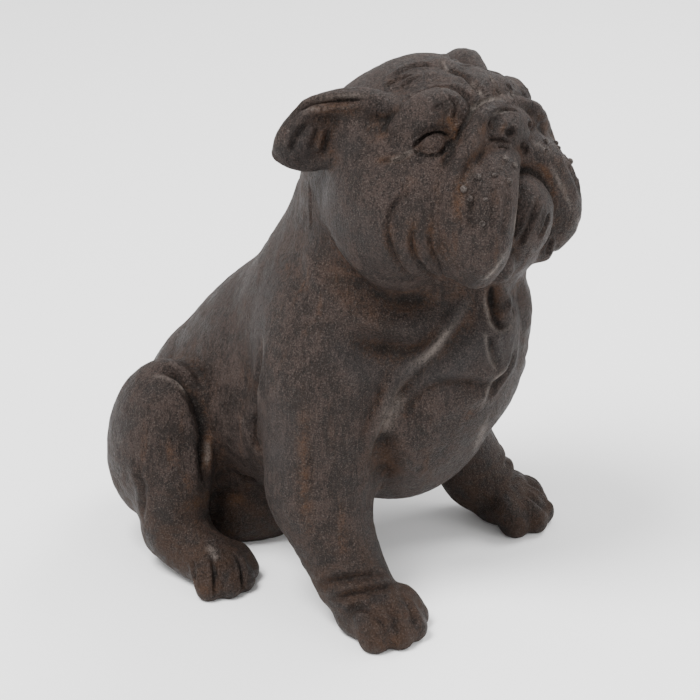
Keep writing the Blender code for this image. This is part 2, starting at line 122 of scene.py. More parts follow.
# %% Directions and curves
def turned(angles):
    """Rotation matrix from three angles in degrees."""
    return np.array(Euler([math.radians(a) for a in angles]).to_matrix())


def aimed(length_axis, face_axis):
    """Rotation matrix whose X lies along one direction and whose Z looks along another."""
    x = np.array(length_axis, float)
    x /= np.linalg.norm(x)
    z = np.array(face_axis, float)
    z -= x * (z @ x)
    z /= np.linalg.norm(z)
    return np.stack([x, np.cross(z, x), z], 1)


def smooth_path(points, steps):
    """Catmull-Rom curve through the given rows."""
    rows = np.vstack([2 * points[0] - points[1], points, 2 * points[-1] - points[-2]])
    path = []
    for i in range(1, len(rows) - 2):
        a, b, c, d = rows[i - 1:i + 3]
        for t in np.linspace(0, 1, steps, endpoint=False):
            path.append(0.5 * (2 * b + (c - a) * t + (2 * a - 5 * b + 4 * c - d) * t**2
                               + (3 * b - a - 3 * c + d) * t**3))
    path.append(rows[-2])
    return np.array(path)

# %% Balls and limbs
TINY = 1e-9                  # keeps a division from failing
FAR = 9.0                    # metres, further than any mass is
LIMB_STEPS = 5               # pieces of curve between two stations
PEBBLE_STEP = 0.5            # spacing of a limb's pebbles, as a share of its radius


class Ball:
    """An ellipsoid mass: centre, half sizes, turn, how far it melts into what is there."""

    def __init__(self, name, at, size, turn=(0, 0, 0), blend=0.03, cut=False):
        self.name = name
        self.at = np.array(at, float) * UNIT
        self.size = np.array(size, float) * UNIT
        self.matrix = aimed(*turn) if len(turn) == 2 else turned(turn)
        self.blend = blend * UNIT
        self.cut = cut

    def bound(self):
        """Centre and radius of a sphere that holds the mass."""
        return self.at, self.size.max()

    def distance(self, points):
        """Distance of points from the mass, below nought inside it."""
        local = (points - self.at) @ self.matrix
        near = np.sqrt(((local / self.size)**2).sum(1)) + TINY
        slope = np.sqrt(((local / self.size**2)**2).sum(1)) + TINY
        return near * (near - 1) / slope

    def pebbles(self):
        """Places and shapes of the balls that stand for the mass in the rough skin."""
        return [(self.at, self.matrix * self.size)]


class Limb:
    """A chain of round cones through stations (x, y, z, radius), smoothed along its length."""

    def __init__(self, name, *stations, blend=0.03, cut=False):
        rows = np.array(stations, float) * UNIT
        self.name = name
        self.rows = smooth_path(rows, LIMB_STEPS) if len(rows) > 2 else rows
        self.blend = blend * UNIT
        self.cut = cut

    def bound(self):
        """Centre and radius of a sphere that holds the mass."""
        low = self.rows[:, :3].min(0)
        high = self.rows[:, :3].max(0)
        return (low + high) / 2, np.linalg.norm(high - low) / 2 + self.rows[:, 3].max()

    def distance(self, points):
        """Distance of points from the mass, below nought inside it."""
        best = np.full(len(points), FAR)
        for a, b in zip(self.rows[:-1], self.rows[1:]):
            along = b[:3] - a[:3]
            t = np.clip((points - a[:3]) @ along / (along @ along), 0, 1)
            gap = np.linalg.norm(points - a[:3] - t[:, None] * along, axis=1)
            best = np.minimum(best, gap - (a[3] + (b[3] - a[3]) * t))
        return best

    def pebbles(self):
        """Places and shapes of the balls that stand for the mass in the rough skin."""
        found = []
        for a, b in zip(self.rows[:-1], self.rows[1:]):
            count = 2 + int(np.linalg.norm(b[:3] - a[:3]) / (PEBBLE_STEP * min(a[3], b[3])))
            for t in np.linspace(0, 1, count):
                row = a + (b - a) * t
                found.append((row[:3], np.eye(3) * row[3]))
        return found

# %% [markdown]
# ## The body
#
# Barrel, chest, back and rump come first, then the legs over them. Most masses are given once,
# for the dog's left, and mirrored by folding space over the midline. Copying and joining a
# second half would leave a seam there, and the fold leaves none.
#
# A ball's row gives its centre, half sizes, turn in degrees and blend. A limb's row gives its
# stations, each x, y, z and radius. All of them are shares of the working height.

# %% A paw of four toes
TOES = ((-1.0, 0.62), (-0.35, 1.0), (0.35, 1.0), (1.0, 0.62))    # place across the paw, reach
TOE_STATIONS = ((0.040, 1.10), (0.045, 1.15), (0.022, 1.0))      # height, share of the radius
TOE_ROOT_SPREAD = 0.6        # how far apart the toes start, against their tips
TOE_BLEND = 0.010


def paw(x, y, splay, spread, ahead, radius):
    """Four toes side by side, the two in the middle reaching further."""
    angle = math.radians(splay)
    forward = np.array([math.sin(angle), -math.cos(angle)])
    across = np.array([math.cos(angle), math.sin(angle)])
    toes = []
    for place, reach in TOES:
        root = np.array([x, y]) + across * place * spread * TOE_ROOT_SPREAD
        tip = np.array([x, y]) + across * place * spread + forward * reach * ahead
        stations = [(*spot, height, radius * share) for spot, (height, share)
                    in zip((root, (root + tip) / 2, tip), TOE_STATIONS)]
        toes.append(Limb("toe", *stations, blend=TOE_BLEND))
    return toes

# %% Masses of the body, legs and neck
BODY = [
    Ball("barrel", (0, 0.02, 0.315), (0.205, 0.235, 0.205), (-30, 0, 0), 0.05),
    Ball("chest", (0, -0.170, 0.345), (0.170, 0.150, 0.200), (16, 0, 0), 0.07),
    Ball("breast", (0, -0.275, 0.44), (0.12, 0.10, 0.13), (10, 0, 0), 0.06),
    Limb("back", (0, -0.02, 0.48, 0.155), (0, 0.11, 0.375, 0.155), (0, 0.195, 0.27, 0.155),
         blend=0.06),
    Ball("withers", (0.03, -0.03, 0.49), (0.17, 0.13, 0.13), (-38, 0, 0), 0.06),
    Ball("rump", (0, 0.245, 0.18), (0.18, 0.155, 0.18), (0, 0, 0), 0.06),
    Limb("neck", (0, -0.04, 0.50, 0.15), (0, -0.085, 0.64, 0.15), (0, -0.13, 0.76, 0.14),
         blend=0.07),
    Limb("neck side", (0.07, -0.10, 0.52, 0.12), (0.06, -0.15, 0.66, 0.12), blend=0.06),
    Limb("throat", (0, -0.22, 0.50, 0.12), (0, -0.25, 0.62, 0.105), blend=0.06),
    Limb("dewlap", (0.02, -0.335, 0.60, 0.035), (0.025, -0.345, 0.54, 0.04),
         (0.02, -0.33, 0.48, 0.035), blend=0.04),
    Ball("shoulder", (0.155, -0.085, 0.41), (0.095, 0.115, 0.18), (-6, 6, 0), 0.05),
    Limb("upper arm", (0.18, -0.085, 0.42, 0.09), (0.195, -0.095, 0.30, 0.09),
         (0.20, -0.10, 0.22, 0.086), blend=0.04),
    Limb("forearm", (0.202, -0.10, 0.24, 0.085), (0.213, -0.14, 0.15, 0.074),
         (0.224, -0.183, 0.085, 0.061), blend=0.03),
    Limb("pastern", (0.224, -0.183, 0.085, 0.061), (0.230, -0.230, 0.048, 0.056), blend=0.02),
    Ball("thigh", (0.19, 0.248, 0.222), (0.095, 0.103, 0.165), (10, 0, 6), 0.025),
    Ball("rump floor", (0, 0.20, 0.07), (0.16, 0.16, 0.11), (0, 0, 0), 0.05),
    Limb("shank", (0.225, 0.20, 0.17, 0.07), (0.235, 0.19, 0.09, 0.062), blend=0.03),
    Limb("hock", (0.225, 0.20, 0.055, 0.05), (0.245, 0.14, 0.05, 0.052),
         (0.25, 0.10, 0.045, 0.05), blend=0.03),
    Ball("tail", (0, 0.395, 0.17), (0.03, 0.03, 0.04), (0, 0, 0), 0.02),
]
BODY += paw(x=0.232, y=-0.242, splay=8, spread=0.050, ahead=0.064, radius=0.028)
BODY += paw(x=0.250, y=0.093, splay=12, spread=0.045, ahead=0.055, radius=0.025)
BODY += [
    Ball("web of the fore toes", (0.238, -0.272, 0.022), (0.066, 0.034, 0.026), (0, 0, 8), 0.012),
    Ball("heel of the fore paw", (0.258, -0.222, 0.026), (0.034, 0.046, 0.030), (0, 0, 8), 0.02),
    Ball("web of the hind toes", (0.255, 0.066, 0.022), (0.058, 0.034, 0.025), (0, 0, 12), 0.012),
]
print(len(BODY), "masses of the body, from the", BODY[0].name, "to the", BODY[-1].name)

# %% [markdown]
# ## The head
#
# Skull, cheeks and muzzle carry the rolls that make the face: the rope over the nose, the hanging
# flews, the eye in its shallow hollow, and the folded ear. They are set out on a head that looks
# straight ahead, because that is easiest to measure, and turned later. The lids aren't masses:
# cut as fine lines round the ball of the eye, they keep the sleepy look of the real one.

# %% Masses of the head
EAR = ((0.10, 0.075, -0.085), (0.42, -0.88, 0.10))    # along the ear, and out of its face
HEAD = [
    Ball("skull", (0, -0.195, 0.848), (0.155, 0.145, 0.130), (-6, 0, 0), 0.05),
    Ball("nape", (0, -0.11, 0.785), (0.14, 0.11, 0.12), (0, 0, 0), 0.06),
    Ball("cheek", (0.135, -0.225, 0.755), (0.085, 0.12, 0.12), (0, 0, 0), 0.045),
    Ball("jaw", (0, -0.30, 0.72), (0.12, 0.12, 0.075), (0, 0, 0), 0.05),
    Ball("muzzle", (0, -0.308, 0.858), (0.125, 0.052, 0.070), (-12, 0, 0), 0.04),
    Ball("brow", (0.092, -0.272, 0.912), (0.058, 0.045, 0.040), (0, 0, 20), 0.03),
    Ball("stop", (0, -0.290, 0.924), (0.104, 0.057, 0.042), (-30, 0, 0), 0.02),
    Ball("orbit", (0.100, -0.255, 0.860), (0.045, 0.040, 0.05), (0, 0, 0), 0.03),
    Ball("eye socket", (0.124, -0.306, 0.882), (0.030, 0.020, 0.018), (0, 0, 30), 0.020, cut=True),
    Limb("brow roll", (0.145, -0.240, 0.898, 0.012), (0.132, -0.253, 0.921, 0.015),
         (0.114, -0.270, 0.935, 0.016), (0.098, -0.291, 0.943, 0.015),
         (0.088, -0.309, 0.938, 0.013), (0.083, -0.318, 0.924, 0.012),
         (0.082, -0.317, 0.904, 0.010), blend=0.012),
    Limb("lid roll", (0.138, -0.264, 0.912, 0.006), (0.127, -0.279, 0.919, 0.007),
         (0.112, -0.290, 0.926, 0.006), blend=0.008),
    Ball("eyeball", (0.107, -0.285, 0.872), (0.031, 0.031, 0.026), (0, 0, 0), 0.005),
    Ball("tear trough", (0.088, -0.306, 0.884), (0.016, 0.016, 0.020), (0, 0, 0), 0.020),
    Ball("under the rope", (0.064, -0.342, 0.868), (0.030, 0.020, 0.022), (0, 0, 0), 0.020),
    Ball("flew side", (0.113, -0.325, 0.76), (0.060, 0.065, 0.105), (4, 0, 0), 0.016),
    Limb("flew", (0.030, -0.366, 0.836, 0.034), (0.066, -0.378, 0.812, 0.043),
         (0.094, -0.388, 0.765, 0.047), (0.108, -0.390, 0.715, 0.047),
         (0.106, -0.380, 0.686, 0.041), blend=0.03),
    Limb("mouth", (0, -0.450, 0.828, 0.012), (0, -0.470, 0.76, 0.056),
         (0, -0.470, 0.66, 0.072), blend=0.010, cut=True),
    Ball("chin", (0, -0.380, 0.738), (0.059, 0.066, 0.079), (6, 0, 0), 0.004),
    Ball("lip lobe", (0.060, -0.400, 0.674), (0.020, 0.022, 0.030), (0, 0, 0), 0.010),
    Ball("under chin", (0, -0.350, 0.672), (0.078, 0.065, 0.045), (0, 0, 0), 0.02),
    Limb("nose rope", (0, -0.350, 0.927, 0.010), (0.036, -0.350, 0.928, 0.010),
         (0.066, -0.352, 0.923, 0.012), (0.080, -0.350, 0.906, 0.015),
         (0.092, -0.350, 0.890, 0.017), (0.106, -0.349, 0.868, 0.017),
         (0.121, -0.345, 0.845, 0.015), (0.129, -0.336, 0.812, 0.013),
         (0.135, -0.336, 0.774, 0.011), (0.143, -0.348, 0.743, 0.008), blend=0.012),
    Ball("nose back", (0, -0.337, 0.888), (0.086, 0.035, 0.047), (-25, 0, 0), 0.014),
    Ball("nose", (0, -0.360, 0.889), (0.051, 0.028, 0.037), (-25, 0, 0), 0.005),
    Ball("nostril", (0.028, -0.388, 0.890), (0.013, 0.014, 0.011), (0, 30, 0), 0.003, cut=True),
    Ball("ear", (0.183, -0.098, 0.872), (0.074, 0.048, 0.026), EAR, 0.02),
    Ball("ear hollow", (0.196, -0.140, 0.866), (0.034, 0.026, 0.018), EAR, 0.01, cut=True),
    Limb("ear rim", (0.120, -0.215, 0.920, 0.020), (0.147, -0.183, 0.932, 0.021),
         (0.172, -0.143, 0.930, 0.019), (0.200, -0.105, 0.914, 0.016),
         (0.219, -0.074, 0.868, 0.012), (0.226, -0.050, 0.828, 0.006),
         (0.200, -0.088, 0.812, 0.010), (0.172, -0.120, 0.826, 0.016), blend=0.012),
    Ball("ear root", (0.150, -0.160, 0.878), (0.034, 0.036, 0.050), (0, 0, 0), 0.03),
]
print(len(HEAD), "masses of the head, from the", HEAD[0].name, "to the", HEAD[-1].name)

# %% [markdown]
# ## Melting the masses together
#
# The field of the figure is the smooth union of all masses, with the cuts taken out in turn. The
# head is read in a frame of its own, because the real one is turned and tilted a little. Its left
# brow also hangs lower and further forward than the right one, as hand modelling often comes out.

# %% The turned head
HEAD_TURN = -5.0             # degrees, the muzzle turned to the dog's left
HEAD_TILT = 2.5              # degrees, the dog's left ear lower than the right
HEAD_PIVOT = np.array([0.0, -0.05, 0.70]) * UNIT
HEAD_FRAME = turned((0, HEAD_TILT, HEAD_TURN))
BROW_SLIP = np.array([0.0, -0.012, -0.020]) * UNIT    # the left brow, forward and down
SLIP_SIDE = (0.01, 0.08)     # shares: where the slip starts from the midline, and its run
SLIP_HIGH = (0.870, 0.045)   # where it starts upwards, and its run
SLIP_FRONT = (-0.14, 0.12)   # where it starts forward, and its run
EAR_SLIP = 0.2               # how much of it the ear behind keeps


def slip(points):
    """How far the left brow and ear hang lower and further forward than the right ones."""
    x, y, z = (points / UNIT).T
    side = np.clip((x - SLIP_SIDE[0]) / SLIP_SIDE[1], 0, 1)
    high = np.clip((z - SLIP_HIGH[0]) / SLIP_HIGH[1], 0, 1)
    front = np.clip((SLIP_FRONT[0] - y) / SLIP_FRONT[1], EAR_SLIP, 1)
    share = side**2 * (3 - 2 * side) * high**2 * (3 - 2 * high) * front
    return share[:, None] * BROW_SLIP


def into_head(points):
    """Points of the figure as seen by the head before it was turned and tilted."""
    local = (points - HEAD_PIVOT) @ HEAD_FRAME + HEAD_PIVOT
    return local - slip(local)


def out_of_head(points):
    """Points of the untouched head carried to where the turned head has them."""
    return (points + slip(points) - HEAD_PIVOT) @ HEAD_FRAME.T + HEAD_PIVOT

# %% The field of the figure
SOFT_MIDLINE = 0.006 * UNIT  # how softly the two halves meet
NECK_BLEND = 0.05 * UNIT     # how far the head melts into the body
FIELD_MARGIN = 0.06 * UNIT   # how far round a mass its field is worked out
PROBE = 0.0008 * UNIT        # half the step that a slope is measured over


def one_side(points):
    """Both halves of the figure laid over each other, with a soft line where they meet."""
    folded = points.copy()
    folded[:, 0] = np.sqrt(points[:, 0]**2 + SOFT_MIDLINE**2) - SOFT_MIDLINE / 2
    return folded


def melted(field, distance, blend):
    """Smooth union of a field with one more mass."""
    share = np.clip(0.5 + 0.5 * (distance - field) / blend, 0, 1)
    return distance + (field - distance) * share - blend * share * (1 - share)


def gathered(points, masses):
    """Field of a list of masses, each joined or cut in its turn."""
    field = np.full(len(points), UNIT)
    for mass in masses:
        centre, radius = mass.bound()
        reach = radius + mass.blend + FIELD_MARGIN
        near = np.nonzero(((points - centre)**2).sum(1) < reach**2)[0]
        distance = mass.distance(points[near])
        if mass.cut:
            field[near] = -melted(-field[near], distance, mass.blend)
        else:
            field[near] = melted(field[near], distance, mass.blend)
    return field


def form(points):
    """Field of the whole figure: below nought inside, above nought outside."""
    body = gathered(one_side(points), BODY)
    head = gathered(one_side(into_head(points)), HEAD)
    return np.maximum(melted(body, head, NECK_BLEND), -points[:, 2])


def pull(points, furthest, weakest):
    """Step that carries points onto the surface of the form along its steepest slope."""
    slope = np.stack([form(points + PROBE * axis) - form(points - PROBE * axis)
                      for axis in np.eye(3)], 1) / (2 * PROBE)
    step = -(form(points) / np.maximum((slope**2).sum(1), weakest))[:, None] * slope
    length = np.linalg.norm(step, axis=1, keepdims=True)
    return step * np.minimum(1, furthest / np.maximum(length, TINY))

# %% [markdown]
# ## The skin
#
# The balls, and small spheres strung along every limb, are remeshed into one closed skin. Its
# points then slide onto the field, so the skin ends smooth and true, without a trace of the
# spheres. Marching over a grid of the whole field would do the same, but takes far more memory
# for the same fineness.

# %% Mesh helpers
def places(mesh, kind="co"):
    """Vertex positions or normals of a mesh as rows."""
    flat = np.empty(len(mesh.vertices) * 3)
    mesh.vertices.foreach_get(kind, flat)
    return flat.reshape(-1, 3)


def put(mesh, rows):
    """Write vertex positions back."""
    mesh.vertices.foreach_set("co", rows.astype(np.float32).ravel())
    mesh.update()


def edge_ends(mesh):
    """The two points of every edge, one edge a row."""
    ends = np.empty(len(mesh.edges) * 2, int)
    mesh.edges.foreach_get("vertices", ends)
    return ends.reshape(-1, 2)


def keep_layer(mesh, name, values):
    """Keep one number on every point of a mesh, for its material to read."""
    layer = mesh.attributes.new(name, "FLOAT", "POINT")
    layer.data.foreach_set("value", np.asarray(values, np.float32))


def shade_smooth(mesh):
    """Let the light run evenly over a mesh's faces."""
    mesh.polygons.foreach_set("use_smooth", [True] * len(mesh.polygons))


def make_plain(obj):
    """Keep what an object's modifiers made as its own mesh, and take the modifiers off."""
    depsgraph = bpy.context.evaluated_depsgraph_get()
    mesh = bpy.data.meshes.new_from_object(obj.evaluated_get(depsgraph))
    obj.modifiers.clear()
    obj.data = mesh


def changed_by(obj, kind, **settings):
    """Apply one modifier and keep its result as the object's mesh."""
    modifier = obj.modifiers.new(kind.title(), kind)
    for name, value in settings.items():
        setattr(modifier, name, value)
    make_plain(obj)

# %% The rough skin
PEBBLE_ROUNDNESS = 3         # subdivisions of the balls
figure_pieces = bpy.data.collections.new("bulldog_figurine")
bpy.context.scene.collection.children.link(figure_pieces)


def rough_skin(name, voxel):
    """Closed skin over every mass, good to about one voxel."""
    bm = bmesh.new()
    bmesh.ops.create_icosphere(bm, subdivisions=PEBBLE_ROUNDNESS, radius=1.0)
    ball = np.array([v.co[:] for v in bm.verts])
    faces = np.array([[v.index for v in f.verts] for f in bm.faces])
    bm.free()
    all_points, all_faces, used = [], [], 0
    for masses, is_head in ((BODY, False), (HEAD, True)):
        for mass in masses:
            if mass.cut:
                continue
            for centre, shape in mass.pebbles():
                for side in (1, -1):
                    points = (ball @ shape.T + centre) * (side, 1, 1)
                    all_points.append(out_of_head(points) if is_head else points)
                    all_faces.append((faces if side > 0 else faces[:, ::-1]) + used)
                    used += len(ball)
    mesh = bpy.data.meshes.new(name)
    mesh.from_pydata(np.vstack(all_points).tolist(), [], np.vstack(all_faces).tolist())
    obj = bpy.data.objects.new(name, mesh)
    figure_pieces.objects.link(obj)
    changed_by(obj, "REMESH", mode="VOXEL", voxel_size=voxel)
    return obj

# %% Bringing a skin onto the form
FURTHEST_STEP = 0.01 * UNIT  # what one step along the slope may move a point
WEAKEST_SLOPE = 0.05         # slopes flatter than this don't throw a point away
EVENING = 0.6                # share of the way to its neighbours' middle that a point slides


def settle(mesh, rounds, by_slope):
    """Bring a skin onto the form and even out its spacing between the steps."""
    edges = edge_ends(mesh)
    for last in [False] * (rounds - 1) + [True]:
        rows = places(mesh)
        if by_slope:
            put(mesh, rows + pull(rows, FURTHEST_STEP, WEAKEST_SLOPE))
        else:
            put(mesh, rows - places(mesh, "normal") * form(rows)[:, None])
        if not last:
            rows = places(mesh)
            normal = places(mesh, "normal")
            move = averaged(rows, edges) - rows
            move -= (move * normal).sum(1, keepdims=True) * normal
            put(mesh, rows + EVENING * move)


def averaged(rows, edges):
    """Mean of each point's neighbours."""
    count = np.maximum(np.bincount(edges.ravel(), minlength=len(rows)), 1)
    total = [np.bincount(edges[:, 0], rows[edges[:, 1], axis], len(rows))
             + np.bincount(edges[:, 1], rows[edges[:, 0], axis], len(rows))
             for axis in range(rows.shape[1])]
    return np.stack(total, 1) / count[:, None]

# %% Wrap and settle the skin
ROUGH_VOXEL = 0.010 * UNIT   # first skin
FINE_VOXEL = 0.0037 * UNIT   # skin that takes the carving
ROUGH_ROUNDS, FINE_ROUNDS = 3, 4

figure = rough_skin("bulldog_cast", ROUGH_VOXEL)
settle(figure.data, ROUGH_ROUNDS, True)
print("Rough skin of", len(figure.data.vertices), "points")
changed_by(figure, "REMESH", mode="VOXEL", voxel_size=FINE_VOXEL)
settle(figure.data, FINE_ROUNDS, False)
print("Fine skin of", len(figure.data.vertices), "points")

# %% [markdown]
# ## Folds, as they are seen
#
# Each fold is a short run of pixels in the photograph's frame, sent along the sight lines onto
# the skin and smoothed into a curve. Head folds are mirrored inside the head's own frame. A
# groove with a low roll at both sides reads as skin pushed together. Sculpting brushes could cut
# them too, but a script can't draw with a brush, and curves on the skin come out alike each run.

# %% Sending pixels to the skin
SHORTEST_SQUARE = 1e-12      # square metres, for a path whose points fall together


def skin_tree(mesh):
    """Search tree over the skin's faces."""
    bm = bmesh.new()
    bm.from_mesh(mesh)
    tree = BVHTree.FromBMesh(bm)
    bm.free()
    return tree


def seen_on(tree, pixel):
    """Point of the skin that a pixel of the picture shows."""
    found = tree.ray_cast(Vector(EYE), Vector(sight_line(pixel)))[0]
    if found is None:
        raise ValueError(f"pixel {pixel} misses the figure")
    return np.array(found)


def nearest_on(points, path):
    """Distance of each point from a path, and how far along the path that is."""
    lengths = np.linalg.norm(path[1:] - path[:-1], axis=1)
    run = np.concatenate([[0], np.cumsum(lengths)])
    best = np.full(len(points), FAR)
    share = np.zeros(len(points))
    for i, (a, b) in enumerate(zip(path[:-1], path[1:])):
        along = b - a
        t = np.clip((points - a) @ along / max(along @ along, SHORTEST_SQUARE), 0, 1)
        gap = np.linalg.norm(points - a - t[:, None] * along, axis=1)
        closer = gap < best
        best[closer] = gap[closer]
        share[closer] = (run[i] + t[closer] * lengths[i]) / run[-1]
    return best, share


def beside(rows, path, width, reach, fade):
    """Points near a path: which they are, their distance from it, and a fade at its ends."""
    box = (rows > path.min(0) - reach * width) & (rows < path.max(0) + reach * width)
    near = np.nonzero(box.all(1))[0]
    gap, share = nearest_on(rows[near], path)
    return near, gap, np.clip(np.minimum(share, 1 - share) * fade, 0, 1)

# %% Marks
FOLD_ROLL = 0.35             # height of the roll beside a fold, as a share of its depth
FOLD_FADE = 4.0              # a fold has its whole depth a quarter of its length from each end
ROLL_PLACE, ROLL_WIDTH = 2.1, 1.1    # where the roll lies and how wide it is, in fold widths
FOLD_REACH = 4.5             # how many widths from its path a fold is felt
MARK_STEPS = 6               # pieces of curve between two pixels


class Mark:
    """A fold seen in the picture: where it is copied, half width, depth and pixels.

    "here" stays as it is, "both" is mirrored in the body, and "head" in the head's own frame.
    """

    def __init__(self, name, where, width, depth, *pixels, fade=FOLD_FADE, roll=FOLD_ROLL):
        self.name = name
        self.where = where
        self.width = width * UNIT
        self.depth = depth * UNIT
        self.pixels = pixels
        self.fade = fade
        self.roll = roll

    def paths(self, tree):
        """Curves of the mark on the skin: the one that shows, and its copy if it has one."""
        seen = smooth_path(np.array([seen_on(tree, pixel) for pixel in self.pixels]), MARK_STEPS)
        if self.where == "here":
            return [seen]
        if self.where == "head":
            return [seen, out_of_head(into_head(seen) * (-1, 1, 1))]
        return [seen, seen * (-1, 1, 1)]


def drawn_to_skin(path, tree):
    """Copies of a path sit on the skin as the first one does."""
    return np.array([tree.find_nearest(Vector(row))[0][:] for row in path])


def carve(mesh, marks):
    """Sink every mark into the skin along its normals, with a low roll on both sides."""
    tree = skin_tree(mesh)
    rows = places(mesh)
    sink = np.zeros(len(rows))
    for mark in marks:
        for path in mark.paths(tree):
            path = drawn_to_skin(path, tree)
            near, gap, fade = beside(rows, path, mark.width, FOLD_REACH, mark.fade)
            fade = fade**2 * (3 - 2 * fade)
            groove = np.exp(-(gap / mark.width)**2)
            roll = np.exp(-((gap - ROLL_PLACE * mark.width) / (ROLL_WIDTH * mark.width))**2)
            sink[near] += mark.depth * fade * (groove - mark.roll * roll)
    put(mesh, rows - places(mesh, "normal") * sink[:, None])
    print(len(marks), "folds carved, from the", marks[0].name, "to the", marks[-1].name)

# %% Folds of the head
MARKS = [
    Mark("outer arch", "head", .0045, .007, (389, 82), (398, 75), (410, 69), (425, 67), (438, 67)),
    Mark("forehead furrow", "head", .0040, .009, (445, 69), (455, 73), (464, 78), (470, 84),
         (477, 92), (484, 99), fade=5, roll=.15),
    Mark("forehead line", "here", .0030, .006, (488, 76), (491, 83), (497, 92), (503, 98)),
    Mark("far brow line", "here", .0030, .005, (506, 85), (510, 91), (514, 97)),
    Mark("central lobe", "here", .016, -.006, (452, 62), (468, 70), (480, 82), (489, 95)),
    Mark("brow lobe", "head", .012, -.005, (398, 92), (414, 82), (434, 77), (452, 80), (466, 90)),
    Mark("crown notch", "here", .003, .006, (441, 61), (442, 67), (446, 71)),
    Mark("upper slit", "head", .0035, .006, (382, 92), (392, 84), (402, 80), (416, 79)),
    Mark("lower slit", "head", .0035, .005, (399, 91), (408, 86), (420, 80)),
    Mark("brow crease", "head", .0045, .010, (397, 107), (410, 99), (418, 95), (430, 90),
         (442, 88), (455, 90), (465, 97), (470, 106), (470, 117), fade=4, roll=.2),
    Mark("brow side", "head", .006, .003, (383, 140), (386, 128), (393, 116), (404, 107)),
    Mark("inside the brow", "head", .003, .006, (447, 99), (454, 103), (456, 112), (453, 123)),
    Mark("lid hook", "head", .0035, .003, (430, 113), (440, 109), (447, 108)),
    Mark("upper lid", "head", .0026, .0045, (413, 151), (417, 144), (424, 138), (433, 134),
         (442, 134), (448, 139), fade=8, roll=.6),
    Mark("lower lid", "head", .0024, .0050, (413, 152), (420, 156), (429, 158), (439, 156),
         (447, 149), fade=8, roll=.5),
    Mark("eye crease", "head", .0035, .005, (413, 152), (404, 158), (396, 162), (376, 163)),
    Mark("flew valley", "head", .012, .006, (462, 132), (450, 150), (440, 175), (436, 200),
         (440, 235), (453, 268)),
    Mark("flew crease", "head", .0040, .006, (469, 119), (464, 127), (458, 138), (448, 155),
         (441, 172)),
    Mark("rope crease", "head", .0035, .003, (467, 124), (471, 114), (478, 107), (489, 102),
         (503, 101), fade=8),
    Mark("rope inside", "head", .008, .005, (479, 150), (472, 161), (466, 173), (461, 186),
         (459, 202), fade=2, roll=.15),
    Mark("nose edge", "here", .0026, .004, (491, 134), (488, 124), (492, 116), (502, 112),
         (514, 112), (522, 117), fade=6),
    Mark("under the nose", "head", .0035, .006, (486, 141), (494, 141), (504, 143), (513, 144)),
    Mark("flew line, back", "head", .005, .004, (478, 188), (471, 212), (473, 240)),
    Mark("flew line, middle", "head", .006, .004, (496, 184), (494, 206), (492, 232)),
    Mark("flew line, front", "head", .006, .003, (507, 186), (505, 212), (500, 242)),
    Mark("chin line, near", "here", .0045, .006, (538, 198), (533, 216), (524, 236), (514, 250)),
    Mark("chin line, far", "here", .0040, .005, (549, 212), (545, 228), (537, 243)),
    Mark("chin lobe", "here", .0040, .005, (553, 236), (549, 247), (547, 258)),
    Mark("flew mark", "here", .0025, .004, (496, 149), (504, 149), (508, 153)),
    Mark("cheek loop, back", "head", .0045, .006, (425, 190), (398, 202), (387, 232), (399, 266),
         (424, 284)),
    Mark("cheek loop, middle", "head", .004, .006, (418, 216), (411, 245), (421, 268),
         (438, 284)),
    Mark("cheek loop, front", "head", .004, .006, (432, 220), (430, 245), (438, 268), (450, 283)),
    Mark("ear fold", "head", .005, .010, (290, 124), (298, 112), (312, 106), (340, 103),
         (372, 101)),
    Mark("ear line, outer", "head", .005, .005, (290, 156), (294, 144), (301, 131), (312, 121),
         roll=.5),
    Mark("ear line, inner", "head", .005, .005, (310, 152), (314, 140), (319, 127), roll=.5),
    Mark("ear line, back", "head", .006, .004, (324, 156), (326, 142), (331, 128), roll=.5),
    Mark("lip furrow", "here", .004, .004, (521, 144), (524, 150), (526, 157)),
]

